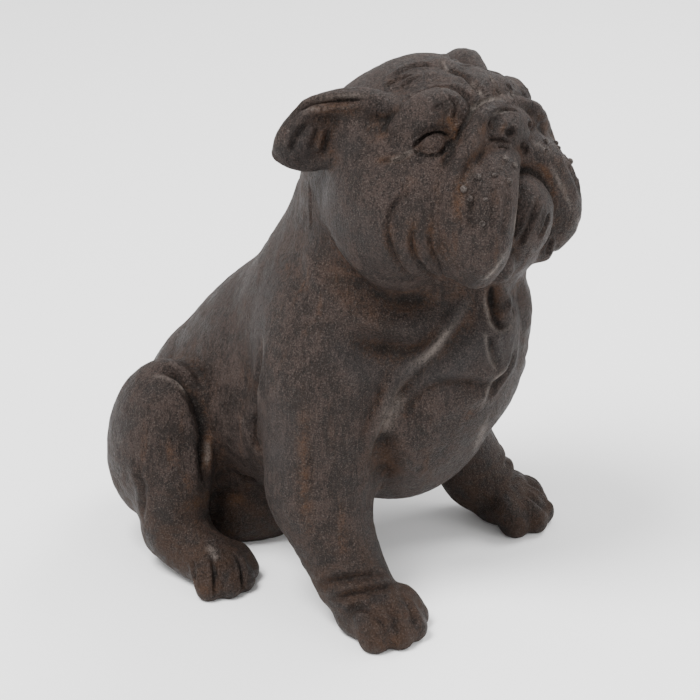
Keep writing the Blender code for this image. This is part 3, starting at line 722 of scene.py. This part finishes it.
# %% Folds of the neck, body and legs
MARKS += [
    Mark("neck line", "both", .004, .003, (310, 180), (311, 205), (312, 236)),
    Mark("collar", "both", .024, .018, (317, 212), (327, 244), (343, 272), (368, 294),
         (405, 306), (455, 300)),
    Mark("collar ridge", "both", .014, -.005, (300, 250), (322, 286), (350, 313), (392, 329)),
    Mark("second collar", "both", .022, .013, (332, 332), (362, 347), (402, 352), (438, 338),
         (460, 312)),
    Mark("throat ridge", "both", .009, -.008, (476, 292), (460, 306), (447, 330), (430, 353),
         (410, 369), (396, 383), (386, 407), (374, 432), (367, 463), fade=6),
    Mark("throat fold", "both", .012, .005, (482, 302), (466, 330), (446, 354), (424, 372),
         (404, 392), (392, 420)),
    Mark("dewlap groove", "here", .008, .012, (493, 285), (492, 305), (497, 324), (511, 331)),
    Mark("dewlap ridge", "here", .006, -.004, (503, 288), (509, 302), (506, 318)),
    Mark("dewlap line", "here", .006, .005, (489, 332), (492, 355), (497, 374)),
    Mark("dewlap fork", "here", .006, .006, (515, 345), (510, 366), (494, 388), (484, 404)),
    Mark("chest crease", "both", .010, .007, (505, 376), (484, 387), (460, 384), (436, 386),
         (415, 402), (402, 430), fade=6),
    Mark("chest swell", "both", .016, -.004, (486, 400), (466, 402), (440, 412), (424, 434)),
    Mark("armpit", "both", .018, .010, (386, 430), (382, 455), (384, 480)),
    Mark("haunch crease", "both", .010, .015, (146, 374), (165, 371), (188, 388), (203, 430),
         (204, 495)),
    Mark("haunch ridge", "both", .005, -.004, (148, 381), (165, 379), (182, 387), (195, 403),
         (199, 425), (199, 455)),
    Mark("buttock crease", "both", .007, .006, (138, 455), (139, 476), (143, 490), (143, 520)),
    Mark("arm rear crease", "both", .009, .013, (262, 335), (259, 370), (257, 410), (258, 445),
         (264, 478)),
    Mark("flank wrinkle, upper", "both", .006, .004, (242, 412), (246, 425), (251, 437)),
    Mark("flank wrinkle, lower", "both", .007, .006, (230, 472), (242, 477), (256, 480)),
    Mark("belly fold", "both", .010, .005, (212, 500), (228, 494), (246, 496)),
    Mark("wrist crease, upper", "both", .007, .007, (316, 588), (332, 582), (358, 578), (386, 572)),
    Mark("wrist crease, lower", "both", .007, .007, (330, 601), (350, 595), (376, 590), (396, 583)),
    Mark("first toe arc", "both", .006, .006, (348, 620), (352, 611), (363, 608), (376, 616),
         (388, 634)),
    Mark("second toe groove", "both", .006, .006, (384, 600), (394, 618), (401, 642)),
    Mark("third toe groove", "both", .006, .006, (402, 596), (411, 609), (417, 628)),
    Mark("hind toe groove, outer", "both", .004, .006, (190, 558), (194, 572), (194, 584)),
    Mark("hind toe groove, middle", "both", .004, .007, (212, 556), (215, 575), (213, 598)),
    Mark("hind toe groove, inner", "both", .004, .007, (236, 554), (242, 570), (241, 592)),
    Mark("arm vein", "both", .005, .003, (309, 448), (311, 470), (309, 492)),
]

# %% [markdown]
# ## Where the coats collected and wore off
#
# A rust-coloured wash was brushed over the real piece and wiped off again: it stayed in the
# creases and ran down from them. Ridges that hands and packing touch were rubbed down to the pale
# stone. Masks from the surface's own relief find most of this, but not what the finisher did by
# hand, so these strokes are placed as they are seen, in the same way as the folds. Where a fold
# has its depth, a stroke has its strength, from 0 to 1. They are laid on the skin before the
# folds are cut, because a stroke that starts inside a fold could land on either of its walls.

# %% Where the rust-coloured wash was left
WASH = [
    Mark("tear trough", "head", .016, 1.0, (441, 112), (448, 124), (454, 136), (451, 152)),
    Mark("inside the rope", "head", .009, .8, (487, 140), (476, 155), (466, 172), (459, 190),
         (457, 212), (462, 232)),
    Mark("beside the nose", "head", .014, .6, (480, 126), (485, 138)),
    Mark("nostril", "head", .009, .8, (500, 128), (506, 131)),
    Mark("mouth", "here", .006, .9, (522, 163), (536, 166), (546, 174), (552, 190), (553, 210),
         (549, 232)),
    Mark("cheek loop, back", "head", .008, .7, (389, 222), (390, 248), (402, 268)),
    Mark("cheek loop, middle", "head", .008, .8, (414, 214), (411, 240), (419, 264)),
    Mark("cheek loop, front", "head", .007, .7, (431, 216), (430, 242), (438, 268)),
    Mark("mouth corner", "head", .020, .4, (438, 240), (448, 270)),
    Mark("ear hollow", "head", .018, .6, (318, 128), (324, 146), (334, 162)),
    Mark("ear root", "head", .012, .6, (306, 114), (330, 110), (352, 112), (366, 112)),
    Mark("eye crease", "head", .007, .5, (413, 152), (400, 160), (370, 163)),
    Mark("dewlap", "both", .014, .9, (494, 284), (493, 305), (498, 326)),
    Mark("armpit", "both", .030, .55, (376, 436), (382, 458), (390, 480)),
    Mark("arm streak", "both", .011, .6, (303, 392), (303, 450), (305, 500), (311, 545)),
    Mark("arm rear crease", "both", .010, .4, (259, 338), (258, 420), (262, 480)),
    Mark("haunch slit", "both", .014, .9, (205, 422), (207, 452), (204, 482)),
    Mark("belly edge", "both", .016, .9, (168, 513), (200, 501), (235, 499), (262, 500)),
    Mark("behind the hind paw", "both", .026, .8, (214, 512), (226, 532), (236, 548)),
    Mark("hind paw", "both", .018, .5, (186, 574), (200, 590), (236, 588)),
    Mark("wrist, upper", "both", .009, .6, (320, 583), (347, 579), (368, 570)),
    Mark("wrist, lower", "both", .009, .6, (333, 599), (354, 590), (387, 580)),
    Mark("fore paw", "both", .018, .5, (364, 638), (384, 646), (408, 638)),
    Mark("collar", "both", .024, .35, (322, 250), (352, 296), (400, 330)),
]

# %% Where the edges were rubbed pale
RUB = [
    Mark("haunch ridge", "both", .0047, .9, (151, 376), (165, 379), (182, 388), (195, 402),
         (201, 425), (205, 446)),
    Mark("haunch slit", "both", .0041, .8, (207, 440), (208, 453), (205, 470)),
    Mark("throat ridge", "both", .0074, .6, (472, 298), (460, 312), (448, 332), (432, 352),
         (412, 368), (397, 384), (386, 410), (375, 436), (369, 460)),
    Mark("armpit ridge", "both", .0095, .5, (404, 392), (392, 415), (382, 440)),
    Mark("dewlap edge", "here", .0041, .7, (486, 290), (486, 308), (492, 326), (503, 332),
         (515, 324)),
    Mark("chest line", "here", .0041, .7, (484, 332), (489, 354), (496, 373)),
    Mark("chest fork", "here", .0047, .7, (514, 358), (500, 375), (487, 393), (480, 412)),
    Mark("chest front", "here", .0081, .5, (484, 418), (481, 436), (474, 452)),
    Mark("shoulder edge", "both", .0054, .5, (263, 332), (262, 365), (261, 405)),
    Mark("crown notch", "here", .0036, .9, (441, 61), (443, 67), (450, 71)),
    Mark("forehead furrow", "head", .0036, .9, (468, 82), (475, 90), (483, 99)),
    Mark("forehead line", "here", .0036, .8, (488, 76), (491, 83), (497, 92), (504, 98)),
    Mark("rope crease", "head", .0036, .9, (468, 122), (471, 112), (480, 105), (492, 101),
         (504, 101)),
    Mark("eye corner", "head", .0036, .9, (413, 151), (405, 157), (396, 161), (386, 163)),
    Mark("brow ridge", "head", .0041, .4, (412, 102), (421, 94), (434, 90), (450, 91), (462, 96),
         (467, 105)),
    Mark("flew hem", "head", .0036, .8, (478, 283), (490, 276), (500, 264), (508, 250)),
    Mark("flew front", "head", .0036, .5, (518, 178), (517, 200), (514, 225), (510, 243)),
    Mark("nose edge", "here", .0036, .5, (491, 118), (500, 113), (512, 112)),
    Mark("far flew", "here", .0047, .4, (530, 141), (541, 148), (553, 158)),
    Mark("ear edge", "head", .0041, .5, (304, 110), (320, 104), (345, 99), (370, 97)),
    Mark("hind paw", "both", .0047, .6, (205, 546), (213, 552), (216, 562)),
]

# %% Lay the strokes, then cut the folds
uncut_tree = skin_tree(figure.data)
wash_paths, rub_paths = ([(mark, path) for mark in marks for path in mark.paths(uncut_tree)]
                         for marks in (WASH, RUB))
print(len(wash_paths), "strokes of wash and", len(rub_paths), "rubbed edges")
carve(figure.data, MARKS)

# %% [markdown]
# ## The sculptor's hand
#
# Nothing modelled by hand and cast in a flexible mould is quite even. A sum of long, low waves in
# every direction gives the flanks and back that softness, far too low to move the outline. It is
# cut into the skin and not left to a bump, because a bump vanishes at the outline.

# %% Low unevenness
SOFT_SWELLS = dict(seed=3, count=30, shortest=0.025, longest=0.070, height=0.00030)   # metres
TOOL_RIPPLES = dict(seed=4, count=60, shortest=0.006, longest=0.018, height=0.00013)


def add_waves(mesh, seed, count, shortest, longest, height):
    """Raise and lower a skin by random plane waves along its normals."""
    chance = np.random.default_rng(seed)
    rows = places(mesh)
    total = np.zeros(len(rows))
    for _ in range(count):
        way = chance.normal(size=3)
        way *= 2 * math.pi / (np.linalg.norm(way) * chance.uniform(shortest, longest))
        total += np.sin(rows @ way + chance.uniform(0, 2 * math.pi))
    total *= height * math.sqrt(2 / count)
    put(mesh, rows + places(mesh, "normal") * total[:, None])
    print("Waves up to", round(float(np.abs(total).max()) * MM, 2), "mm")


add_waves(figure.data, **SOFT_SWELLS)
add_waves(figure.data, **TOOL_RIPPLES)

# %% [markdown]
# ## Thin, flatten, fit
#
# Decimate spends triangles where the surface bends, so the face keeps its edges and the flanks
# give theirs up. The soles are cut level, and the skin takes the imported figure's exact box.

# %% Thinning and standing the figure
MOST_TRIANGLES = 195000      # what the finished skin is thinned to
SAME_POINT = 1e-5            # metres


def flat_soles(mesh, height):
    """Slice the underside level and close it with flat faces."""
    bm = bmesh.new()
    bm.from_mesh(mesh)
    bmesh.ops.bisect_plane(bm, geom=bm.verts[:] + bm.edges[:] + bm.faces[:], dist=SAME_POINT,
                           plane_co=(0, 0, height), plane_no=(0, 0, 1), clear_inner=True)
    rim = [edge for edge in bm.edges if edge.is_boundary]
    bmesh.ops.holes_fill(bm, edges=rim, sides=0)
    bmesh.ops.dissolve_degenerate(bm, dist=SAME_POINT, edges=bm.edges[:])
    bmesh.ops.triangulate(bm, faces=bm.faces[:])
    bmesh.ops.recalc_face_normals(bm, faces=bm.faces[:])
    bm.to_mesh(mesh)
    bm.free()


def fit_box(mesh, low, high):
    """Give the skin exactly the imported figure's box, and return the scale and shift used."""
    rows = places(mesh)
    scale = (high - low) / (rows.max(0) - rows.min(0))
    shift = low - rows.min(0) * scale
    put(mesh, rows * scale + shift)
    print("Fitted by", ((scale - 1) * 100).round(3), "per cent")
    return scale, shift


full_triangles = 2 * len(figure.data.polygons)    # each face of the remeshed skin is a quad
changed_by(figure, "DECIMATE", ratio=MOST_TRIANGLES / full_triangles)
flat_soles(figure.data, SOLE_SHARE * UNIT)
scale, shift = fit_box(figure.data, CAD_LOW, CAD_HIGH)
aim_camera(shift)
print("Finished skin of", len(figure.data.polygons), "triangles")

# %% [markdown]
# ## Masks for the patina
#
# Wash dries in hollows and wear comes on crests, so the material has to know where those are. The
# skin is smoothed a little for the fine relief and a lot for the broad one, and the distance from
# the smoothed skin is kept on every point. Pointiness would give something like it, but only in
# one renderer and at one fineness of the mesh. The strokes of wash and wear are kept beside it.

# %% Crease and crest masks
RELIEF_ROUNDS = {"fine": 5, "broad": 60}    # how often the skin is smoothed, one after the other
SMOOTHING_ROUNDS = 2                        # how often the mask itself is
SPREAD = (2, 50, 98)                        # per cent, the printed spread of a mask


def surface_masks(mesh):
    """Keep on every point how deep it lies in a crease and how proud it stands on a crest."""
    edges = edge_ends(mesh)
    rows = places(mesh)
    normal = places(mesh, "normal")
    soft = rows.copy()
    for name, rounds in RELIEF_ROUNDS.items():
        for _ in range(rounds):
            soft = (soft + averaged(soft, edges)) / 2
        height = ((rows - soft) * normal).sum(1)
        for _ in range(SMOOTHING_ROUNDS):
            height = averaged(height[:, None], edges)[:, 0]
        keep_layer(mesh, name, height * MM)
        print(name, "relief in millimetres:", np.percentile(height * MM, SPREAD).round(2))


surface_masks(figure.data)

# %% Painting the strokes
STROKE_REACH = 3.0           # how many widths from its path a stroke is felt
TOUCHED = 0.1                # strength from which a point counts as painted, for the print


def paint(mesh, name, strokes, scale, shift):
    """Keep on every point how much the strokes left there."""
    rows = places(mesh)
    amount = np.zeros(len(rows))
    for mark, path in strokes:
        near, gap, fade = beside(rows, path * scale + shift, mark.width, STROKE_REACH, mark.fade)
        stroke = mark.depth / UNIT * fade * np.exp(-(gap / mark.width)**2)
        amount[near] = np.maximum(amount[near], stroke)
    keep_layer(mesh, name, amount)
    print("Points with", name + ":", int((amount > TOUCHED).sum()))


paint(figure.data, "wash", wash_paths, scale, shift)
paint(figure.data, "rub", rub_paths, scale, shift)

# %% [markdown]
# ## Patina
#
# The casting carries a dark brown ground with a greyish film brushed over it, rust-coloured wash
# in the creases and in runs down the flanks, and pale worn edges. A picture wrapped round the
# figure would show seams and stretch on the folds. Noise in object coordinates fits any shape, and
# breaks every mask up, so no edge looks drawn. A small class keeps the node calls short.

# %% Shader helpers
class Shader:
    """A material's tree with short calls for the nodes it needs."""

    def __init__(self, name):
        self.material = bpy.data.materials.new(name)
        self.material.use_nodes = True
        self.tree = self.material.node_tree
        self.surface = self.tree.nodes["Principled BSDF"]
        self.place = self.add("ShaderNodeTexCoord").outputs["Object"]

    def add(self, kind, **settings):
        """A new node with its settings."""
        node = self.tree.nodes.new(kind)
        for key, value in settings.items():
            setattr(node, key, value)
        return node

    def feed(self, socket, value):
        """Link an output to a socket, or set the socket's own value."""
        if isinstance(value, bpy.types.NodeSocket):
            self.tree.links.new(value, socket)
        else:
            socket.default_value = value

    def fed(self, kind, inputs, output, **settings):
        """A new node's output, once its inputs are fed."""
        node = self.add(kind, **settings)
        for key, value in inputs.items():
            self.feed(node.inputs[key], value)
        return node.outputs[output]

    def noise(self, scale, detail, rough=0.55, stretch=None, distort=0.0):
        """Noise with features about 1 / scale metres across, or stretched by its axes."""
        place = self.place
        if stretch is not None:
            place = self.fed("ShaderNodeMapping", {"Vector": place, "Scale": stretch}, "Vector")
        return self.fed("ShaderNodeTexNoise",
                        {"Vector": place, "Scale": scale, "Detail": detail, "Roughness": rough,
                         "Distortion": distort}, "Fac")

    def cells(self, scale):
        """Distance to the nearest of many scattered points."""
        return self.fed("ShaderNodeTexVoronoi", {"Vector": self.place, "Scale": scale}, "Distance")

    def kept(self, name):
        """A mask kept on the skin's points."""
        return self.add("ShaderNodeAttribute", attribute_name=name).outputs["Fac"]

    def height(self):
        """Metres above the floor."""
        return self.fed("ShaderNodeSeparateXYZ", {"Vector": self.place}, "Z")

    def window(self, value, low, high, start=0.0, end=1.0):
        """Value carried smoothly from one range to another."""
        return self.fed("ShaderNodeMapRange",
                        {"Value": value, "From Min": low, "From Max": high, "To Min": start,
                         "To Max": end}, "Result", interpolation_type="SMOOTHSTEP")

    def chain(self, kind, first, *others):
        """Values joined in turn by one operation, each result kept between 0 and 1."""
        for other in others:
            first = self.fed("ShaderNodeMath", {0: first, 1: other}, "Value", operation=kind,
                             use_clamp=True)
        return first

    def mix(self, share, a, b):
        """Colour a turning into colour b."""
        return self.fed("ShaderNodeMix", {"Factor": share, "A": a, "B": b}, "Result",
                        data_type="RGBA")

    def bump(self, height, depth, strength, below=None):
        """Bump of a given depth in metres over another one."""
        inputs = {"Height": height, "Distance": depth, "Strength": strength}
        if below is not None:
            inputs["Normal"] = below
        return self.fed("ShaderNodeBump", inputs, "Normal")

# %% Patterns that break the coats up
NOISES = {                   # scale in features for each metre
    "mottle": dict(scale=60, detail=6, rough=0.62, distort=0.4),
    "patch": dict(scale=9, detail=3),
    "coarse": dict(scale=300, detail=4, rough=0.65),
    "grain": dict(scale=900, detail=3, rough=0.6),
    "brushed": dict(scale=1, detail=5, rough=0.65, stretch=(330, 330, 60)),
    "streak": dict(scale=1, detail=3, rough=0.5, stretch=(75, 75, 6)),
}
PITS = 430                   # air bubbles of the cast for each metre
PIT_SIZE = (0.0, 0.34)       # from a pit's middle to its rim, as a share of their spacing


def patterns(shader):
    """Every pattern and kept mask by its name."""
    found = {name: shader.kept(name) for name in ("broad", "fine", "wash", "rub")}
    found.update({name: shader.noise(**sizes) for name, sizes in NOISES.items()})
    found["pits"] = shader.window(shader.cells(PITS), *PIT_SIZE)
    return found

# %% [markdown]
# ## Masks of the coats
#
# Each coat lies where a pattern or a relief passes a certain value. The windows say where it
# starts and where it is full; one that runs downwards takes the low side. The film is a sum of
# patterns of four sizes, which gives the even, dusty speckle of the real one. Dried wash needs a
# hollow and a broken pattern, runs need streaks down the body, and strokes come on top of both.

# %% Masks of the coats
FILM = {"mottle": 0.34, "brushed": 0.26, "coarse": 0.14, "grain": 0.26}    # shares of the film
BREAKS = {"coarse": 0.5, "mottle": 0.5}                                    # and of broken wash
WINDOWS = {                  # start and full, and for some the strengths there
    "film": (0.44, 0.57),
    "cool": (0.50, 0.72, 0, 0.55),
    "near_floor": (0.10, 0.02),            # metres above the floor, over which the legs and feet turn darker towards the bottom
    "damp": (0.35, 0.60),
    "broken": (0.40, 0.60),
    "hollow": (0.2, -2.4),             # millimetres of broad relief
    "deep": (-1.4, -4.0, 0, 0.75),     # the same, where painted shade darkens the deepest hollows
    "proud": (2.6, 5.0),               # the same
    "line": (-0.12, -0.60),            # millimetres of fine relief, where painted shade darkens the creases
    "worn": (0.36, 0.95),              # the same
    "spared": (0.36, 0.62),
    "streak": (0.56, 0.74),
    "wet": (0.62, 0.40),
    "chafed": (0.36, 0.58, 0.35, 1.0),
    "speck": (0.54, 0.68),
    "nick": (0.45, 0.34),
    "rough": (0.3, 0.7, 0.48, 0.70),
}
DRIED, RUNS, FEET_WASH = 0.45, 0.50, 0.25    # how strong each kind of wash is
STROKE_BROKEN, STROKE_EVEN = 0.7, 0.2        # how much of a stroke is broken up, and how little
LINE_WEAR, SWELL_WEAR = 0.45, 0.20           # how strong wear is on thin crests and on swells


def coats(shader, seen):
    """Masks of the coats and the wear by their names, each between 0 and 1."""
    def full(name, value):
        return shader.window(value, *WINDOWS[name])

    def times(*values):
        return shader.chain("MULTIPLY", *values)

    def blend(shares):
        return shader.chain("ADD", *(times(seen[name], share) for name, share in shares.items()))

    film, broken = blend(FILM), full("broken", blend(BREAKS))
    # colour darker towards the bottom of the legs and feet, broken by mottle
    damp = times(full("near_floor", shader.height()), full("damp", seen["mottle"]))
    dried = times(broken, DRIED, full("hollow", seen["broad"]))
    runs = times(full("streak", seen["streak"]), full("wet", seen["patch"]), broken, RUNS)
    strokes = times(seen["wash"], shader.chain("ADD", times(broken, STROKE_BROKEN), STROKE_EVEN))
    crests = shader.chain("ADD", times(full("worn", seen["fine"]), LINE_WEAR),
                          times(full("proud", seen["broad"]), SWELL_WEAR))
    return {
        "film": full("film", film),
        "cool": full("cool", seen["patch"]),
        "damp": damp,
        "rust": shader.chain("MAXIMUM", dried, runs, strokes, times(damp, FEET_WASH)),
        # painted shade: the next two darken the creases of the fine relief and the hollows of the
        # broad one
        "line": full("line", seen["fine"]),
        "deep": full("deep", seen["broad"]),
        "wear": times(crests, full("spared", seen["coarse"])),
        "chafed": times(seen["rub"], full("chafed", film)),
        "speck": full("speck", seen["grain"]),
        "nick": full("nick", seen["grain"]),
        "pit": shader.chain("SUBTRACT", 1.0, seen["pits"]),
        "rough": full("rough", seen["mottle"]),
    }

# %% [markdown]
# ## The coats in their order
#
# The colours go on as the finisher put them, with painted shade among them: film over ground, wash
# over film, then painted shade in the creases and hollows, the wear, and last the specks, nicks and
# pits of the cast skin. One long row of mixes would do the same; a table and a loop let the coats
# be read and changed in their order. The shine is low, a little higher where the piece is worn and
# lower where wash dried. Five bumps from soft mottle down to grain give the skin its tooth, each
# standing on the one before it.

# %% Colours and bumps
GROUND = (0.0110, 0.0068, 0.0052, 1)     # dark brown under everything
RUBBED = (0.0350, 0.0235, 0.0195, 1)     # greyer film over most of the body
COOL = (0.0230, 0.0206, 0.0206, 1)       # faintly blue patches
RUST = (0.060, 0.0265, 0.0100, 1)        # warm wash
SHADE_AND_SPECKS = (0.0036, 0.0024, 0.0018, 1)     # near black: painted shade in the creases and hollows, and the dark nicks and pits of the skin
CREST = (0.100, 0.085, 0.076, 1)         # pale, worn edges
CHAFED = (0.170, 0.145, 0.128, 1)        # rubbed through to the cast stone
LAYERS = (                               # mask, strength and colour, from the ground up
    # the third on this row makes the legs and feet darker towards the bottom
    ("film", 1.0, RUBBED), ("cool", 1.0, COOL), ("damp", 0.6, GROUND), ("rust", 1.0, RUST),
    # the first two on this row lay near-black painted shade in the creases and hollows
    ("line", 0.80, SHADE_AND_SPECKS), ("deep", 1.0, SHADE_AND_SPECKS), ("wear", 1.0, CREST), ("chafed", 1.0, CHAFED),
    ("speck", 0.36, CREST), ("nick", 0.60, SHADE_AND_SPECKS), ("pit", 0.65, SHADE_AND_SPECKS),
)
SHINE = 0.17                             # specular level
WORN_SHINE, WASH_DULLNESS = 0.12, 0.15   # what wear takes from the roughness, and wash adds
BUMPS = (                                # pattern, depth in metres and strength
    ("mottle", 0.0034, 0.6), ("brushed", 0.0030, 0.7), ("coarse", 0.0030, 0.7),
    ("pits", 0.0010, 0.7), ("grain", 0.0012, 0.8),
)


def patina():
    """Brown ground, grey film, rust in the creases and down the flanks, painted shade in the
    creases and hollows, pale worn crests.
    """
    shader = Shader("patina")
    seen = patterns(shader)
    masks = coats(shader, seen)
    colour, normal = GROUND, None
    for name, strength, tint in LAYERS:
        colour = shader.mix(shader.chain("MULTIPLY", masks[name], strength), colour, tint)
    rough = shader.chain("SUBTRACT", masks["rough"],
                         shader.chain("MULTIPLY", masks["wear"], WORN_SHINE))
    rough = shader.chain("ADD", rough, shader.chain("MULTIPLY", masks["rust"], WASH_DULLNESS))
    for name, depth, strength in BUMPS:
        normal = shader.bump(seen[name], depth, strength, normal)
    shader.feed(shader.surface.inputs["Base Color"], colour)
    shader.feed(shader.surface.inputs["Roughness"], rough)
    shader.feed(shader.surface.inputs["Normal"], normal)
    shader.surface.inputs["Specular IOR Level"].default_value = SHINE
    print("Patina of", len(LAYERS), "coats and", len(shader.tree.nodes), "nodes")
    return shader.material

# %% Coat the figure and tie it to the frame
figure.data.materials.clear()
figure.data.materials.append(patina())
shade_smooth(figure.data)
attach(figure, "root")
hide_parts("bulldog")

# %% [markdown]
# ## Whisker beads
#
# Both flews carry a scatter of raised beads where the whiskers would grow. On the real piece they
# were pressed on as tiny balls of wax. One ball is instanced on the points by Geometry Nodes, each
# a little different in size, and sunk to its middle: one tree sets all of them, where balls added
# by hand would each need their own size and place.

# %% Beads on the flews
BEAD_RADIUS = 0.0052 * UNIT
BEAD_SHARES = (0.75, 1.20)   # smallest and largest bead, against that radius
BEAD_ROUNDNESS = 3           # subdivisions of each ball
BEAD_SEED = 7
LEAST, MOST, NUMBER = 2, 3, 1                # Random Value's sockets for a plain number
BEAD_HIGHLIGHT_RELIEF = {"fine": 1.2, "broad": 5.0}    # millimetres, so the patina wears them pale as crests and paints a highlight on each bead
BEAD_PIXELS = [(477, 179), (494, 177), (463, 191), (469, 200), (485, 201), (482, 225),
               (514, 167), (505, 161), (509, 183)]


def bead_tree(material):
    """Geometry tree that puts a ball on every point, with its own size."""
    tree = bpy.data.node_groups.new("whisker_beads", "GeometryNodeTree")
    tree.interface.new_socket("Geometry", in_out="INPUT", socket_type="NodeSocketGeometry")
    radius = tree.interface.new_socket("Bead radius", in_out="INPUT", socket_type="NodeSocketFloat")
    tree.interface.new_socket("Geometry", in_out="OUTPUT", socket_type="NodeSocketGeometry")
    enter, leave = tree.nodes.new("NodeGroupInput"), tree.nodes.new("NodeGroupOutput")
    ball = tree.nodes.new("GeometryNodeMeshIcoSphere")
    ball.inputs["Subdivisions"].default_value = BEAD_ROUNDNESS
    size = tree.nodes.new("FunctionNodeRandomValue")
    size.data_type = "FLOAT"
    size.inputs[LEAST].default_value, size.inputs[MOST].default_value = BEAD_SHARES
    size.inputs["Seed"].default_value = BEAD_SEED
    place = tree.nodes.new("GeometryNodeInstanceOnPoints")
    real = tree.nodes.new("GeometryNodeRealizeInstances")
    coat = tree.nodes.new("GeometryNodeSetMaterial")
    coat.inputs["Material"].default_value = material
    tree.links.new(enter.outputs["Bead radius"], ball.inputs["Radius"])
    tree.links.new(enter.outputs["Geometry"], place.inputs["Points"])
    tree.links.new(ball.outputs["Mesh"], place.inputs["Instance"])
    tree.links.new(size.outputs[NUMBER], place.inputs["Scale"])
    tree.links.new(place.outputs["Instances"], real.inputs["Geometry"])
    tree.links.new(real.outputs["Geometry"], coat.inputs["Geometry"])
    tree.links.new(coat.outputs["Geometry"], leave.inputs["Geometry"])
    return tree, radius.identifier


def beads(points, material):
    """One object of balls, realised to a plain mesh."""
    mesh = bpy.data.meshes.new("whisker_beads")
    mesh.from_pydata(points, [], [])
    obj = bpy.data.objects.new("whisker_beads", mesh)
    figure_pieces.objects.link(obj)
    tree, radius = bead_tree(material)
    modifier = obj.modifiers.new("Beads", "NODES")
    modifier.node_group = tree
    modifier[radius] = BEAD_RADIUS
    make_plain(obj)
    shade_smooth(obj.data)
    # every bead takes the pale crest colour: worn colour and a painted highlight together
    for name, relief in BEAD_HIGHLIGHT_RELIEF.items():
        keep_layer(obj.data, name, [relief] * len(obj.data.vertices))
    print(len(points), "beads,", len(obj.data.polygons), "faces")
    return obj

# %% Place the beads on both sides
near_spots = np.array([seen_on(uncut_tree, pixel) for pixel in BEAD_PIXELS])
far_spots = out_of_head(into_head(near_spots) * (-1, 1, 1))
bead_spots = np.stack([near_spots, far_spots], 1).reshape(-1, 3) * scale + shift
finished_tree = skin_tree(figure.data)
bead_points = [tuple(finished_tree.find_nearest(Vector(spot))[0]) for spot in bead_spots]
whisker_beads = beads(bead_points, figure.data.materials[0])
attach(whisker_beads, "root")

# %% [markdown]
# ## Floor and light
#
# The figure stands on a pale floor under a wide soft key from above and behind its right side,
# with a weak fill in front and a rim on the far side. The world gives most of the light, evenly, as
# the white tent round a small piece does. A backdrop wall would show in views from other sides.

# %% Pale floor
FLOOR_SIZE = 12              # metres
FLOOR_DROP = 0.0005          # metres under the soles, so the two never touch
FLOOR_COLOUR = (0.88, 0.88, 0.88, 1)
FLOOR_ROUGHNESS = 0.9


def floor():
    """Large plain plane under the figure, which isn't part of it."""
    bpy.ops.mesh.primitive_plane_add(size=FLOOR_SIZE, location=(0, 0, -FLOOR_DROP))
    plane = bpy.context.active_object
    plane.name = "floor"
    material = bpy.data.materials.new("floor")
    material.use_nodes = True
    surface = material.node_tree.nodes["Principled BSDF"]
    surface.inputs["Base Color"].default_value = FLOOR_COLOUR
    surface.inputs["Roughness"].default_value = FLOOR_ROUGHNESS
    plane.data.materials.append(material)


floor()

# %% Soft lamps and an even world
LAMPS = (                    # name, place, size in metres, power in watts
    ("key", (-1.2, 0.4, 2.6), 1.2, 140),
    ("fill", (0.3, -2.6, 1.2), 1.6, 20),
    ("rim", (1.6, -0.4, 1.9), 1.2, 45),
)
WORLD_COLOUR, WORLD_STRENGTH = (1, 1, 1, 1), 1.25


def light(name, place, size, power):
    """Round soft lamp that looks at the origin."""
    data = bpy.data.lights.new(name, "AREA")
    data.shape = "DISK"
    data.size = size
    data.energy = power
    lamp = bpy.data.objects.new(name, data)
    bpy.context.scene.collection.objects.link(lamp)
    lamp.location = place
    lamp.rotation_euler = Vector(place).to_track_quat("Z", "Y").to_euler()


for lamp_settings in LAMPS:
    light(*lamp_settings)
world = bpy.data.worlds.new("studio")
bpy.context.scene.world = world
world.use_nodes = True
sky = world.node_tree.nodes["Background"]
sky.inputs["Color"].default_value = WORLD_COLOUR
sky.inputs["Strength"].default_value = WORLD_STRENGTH
print(len(LAMPS), "lamps in a world of strength", WORLD_STRENGTH)
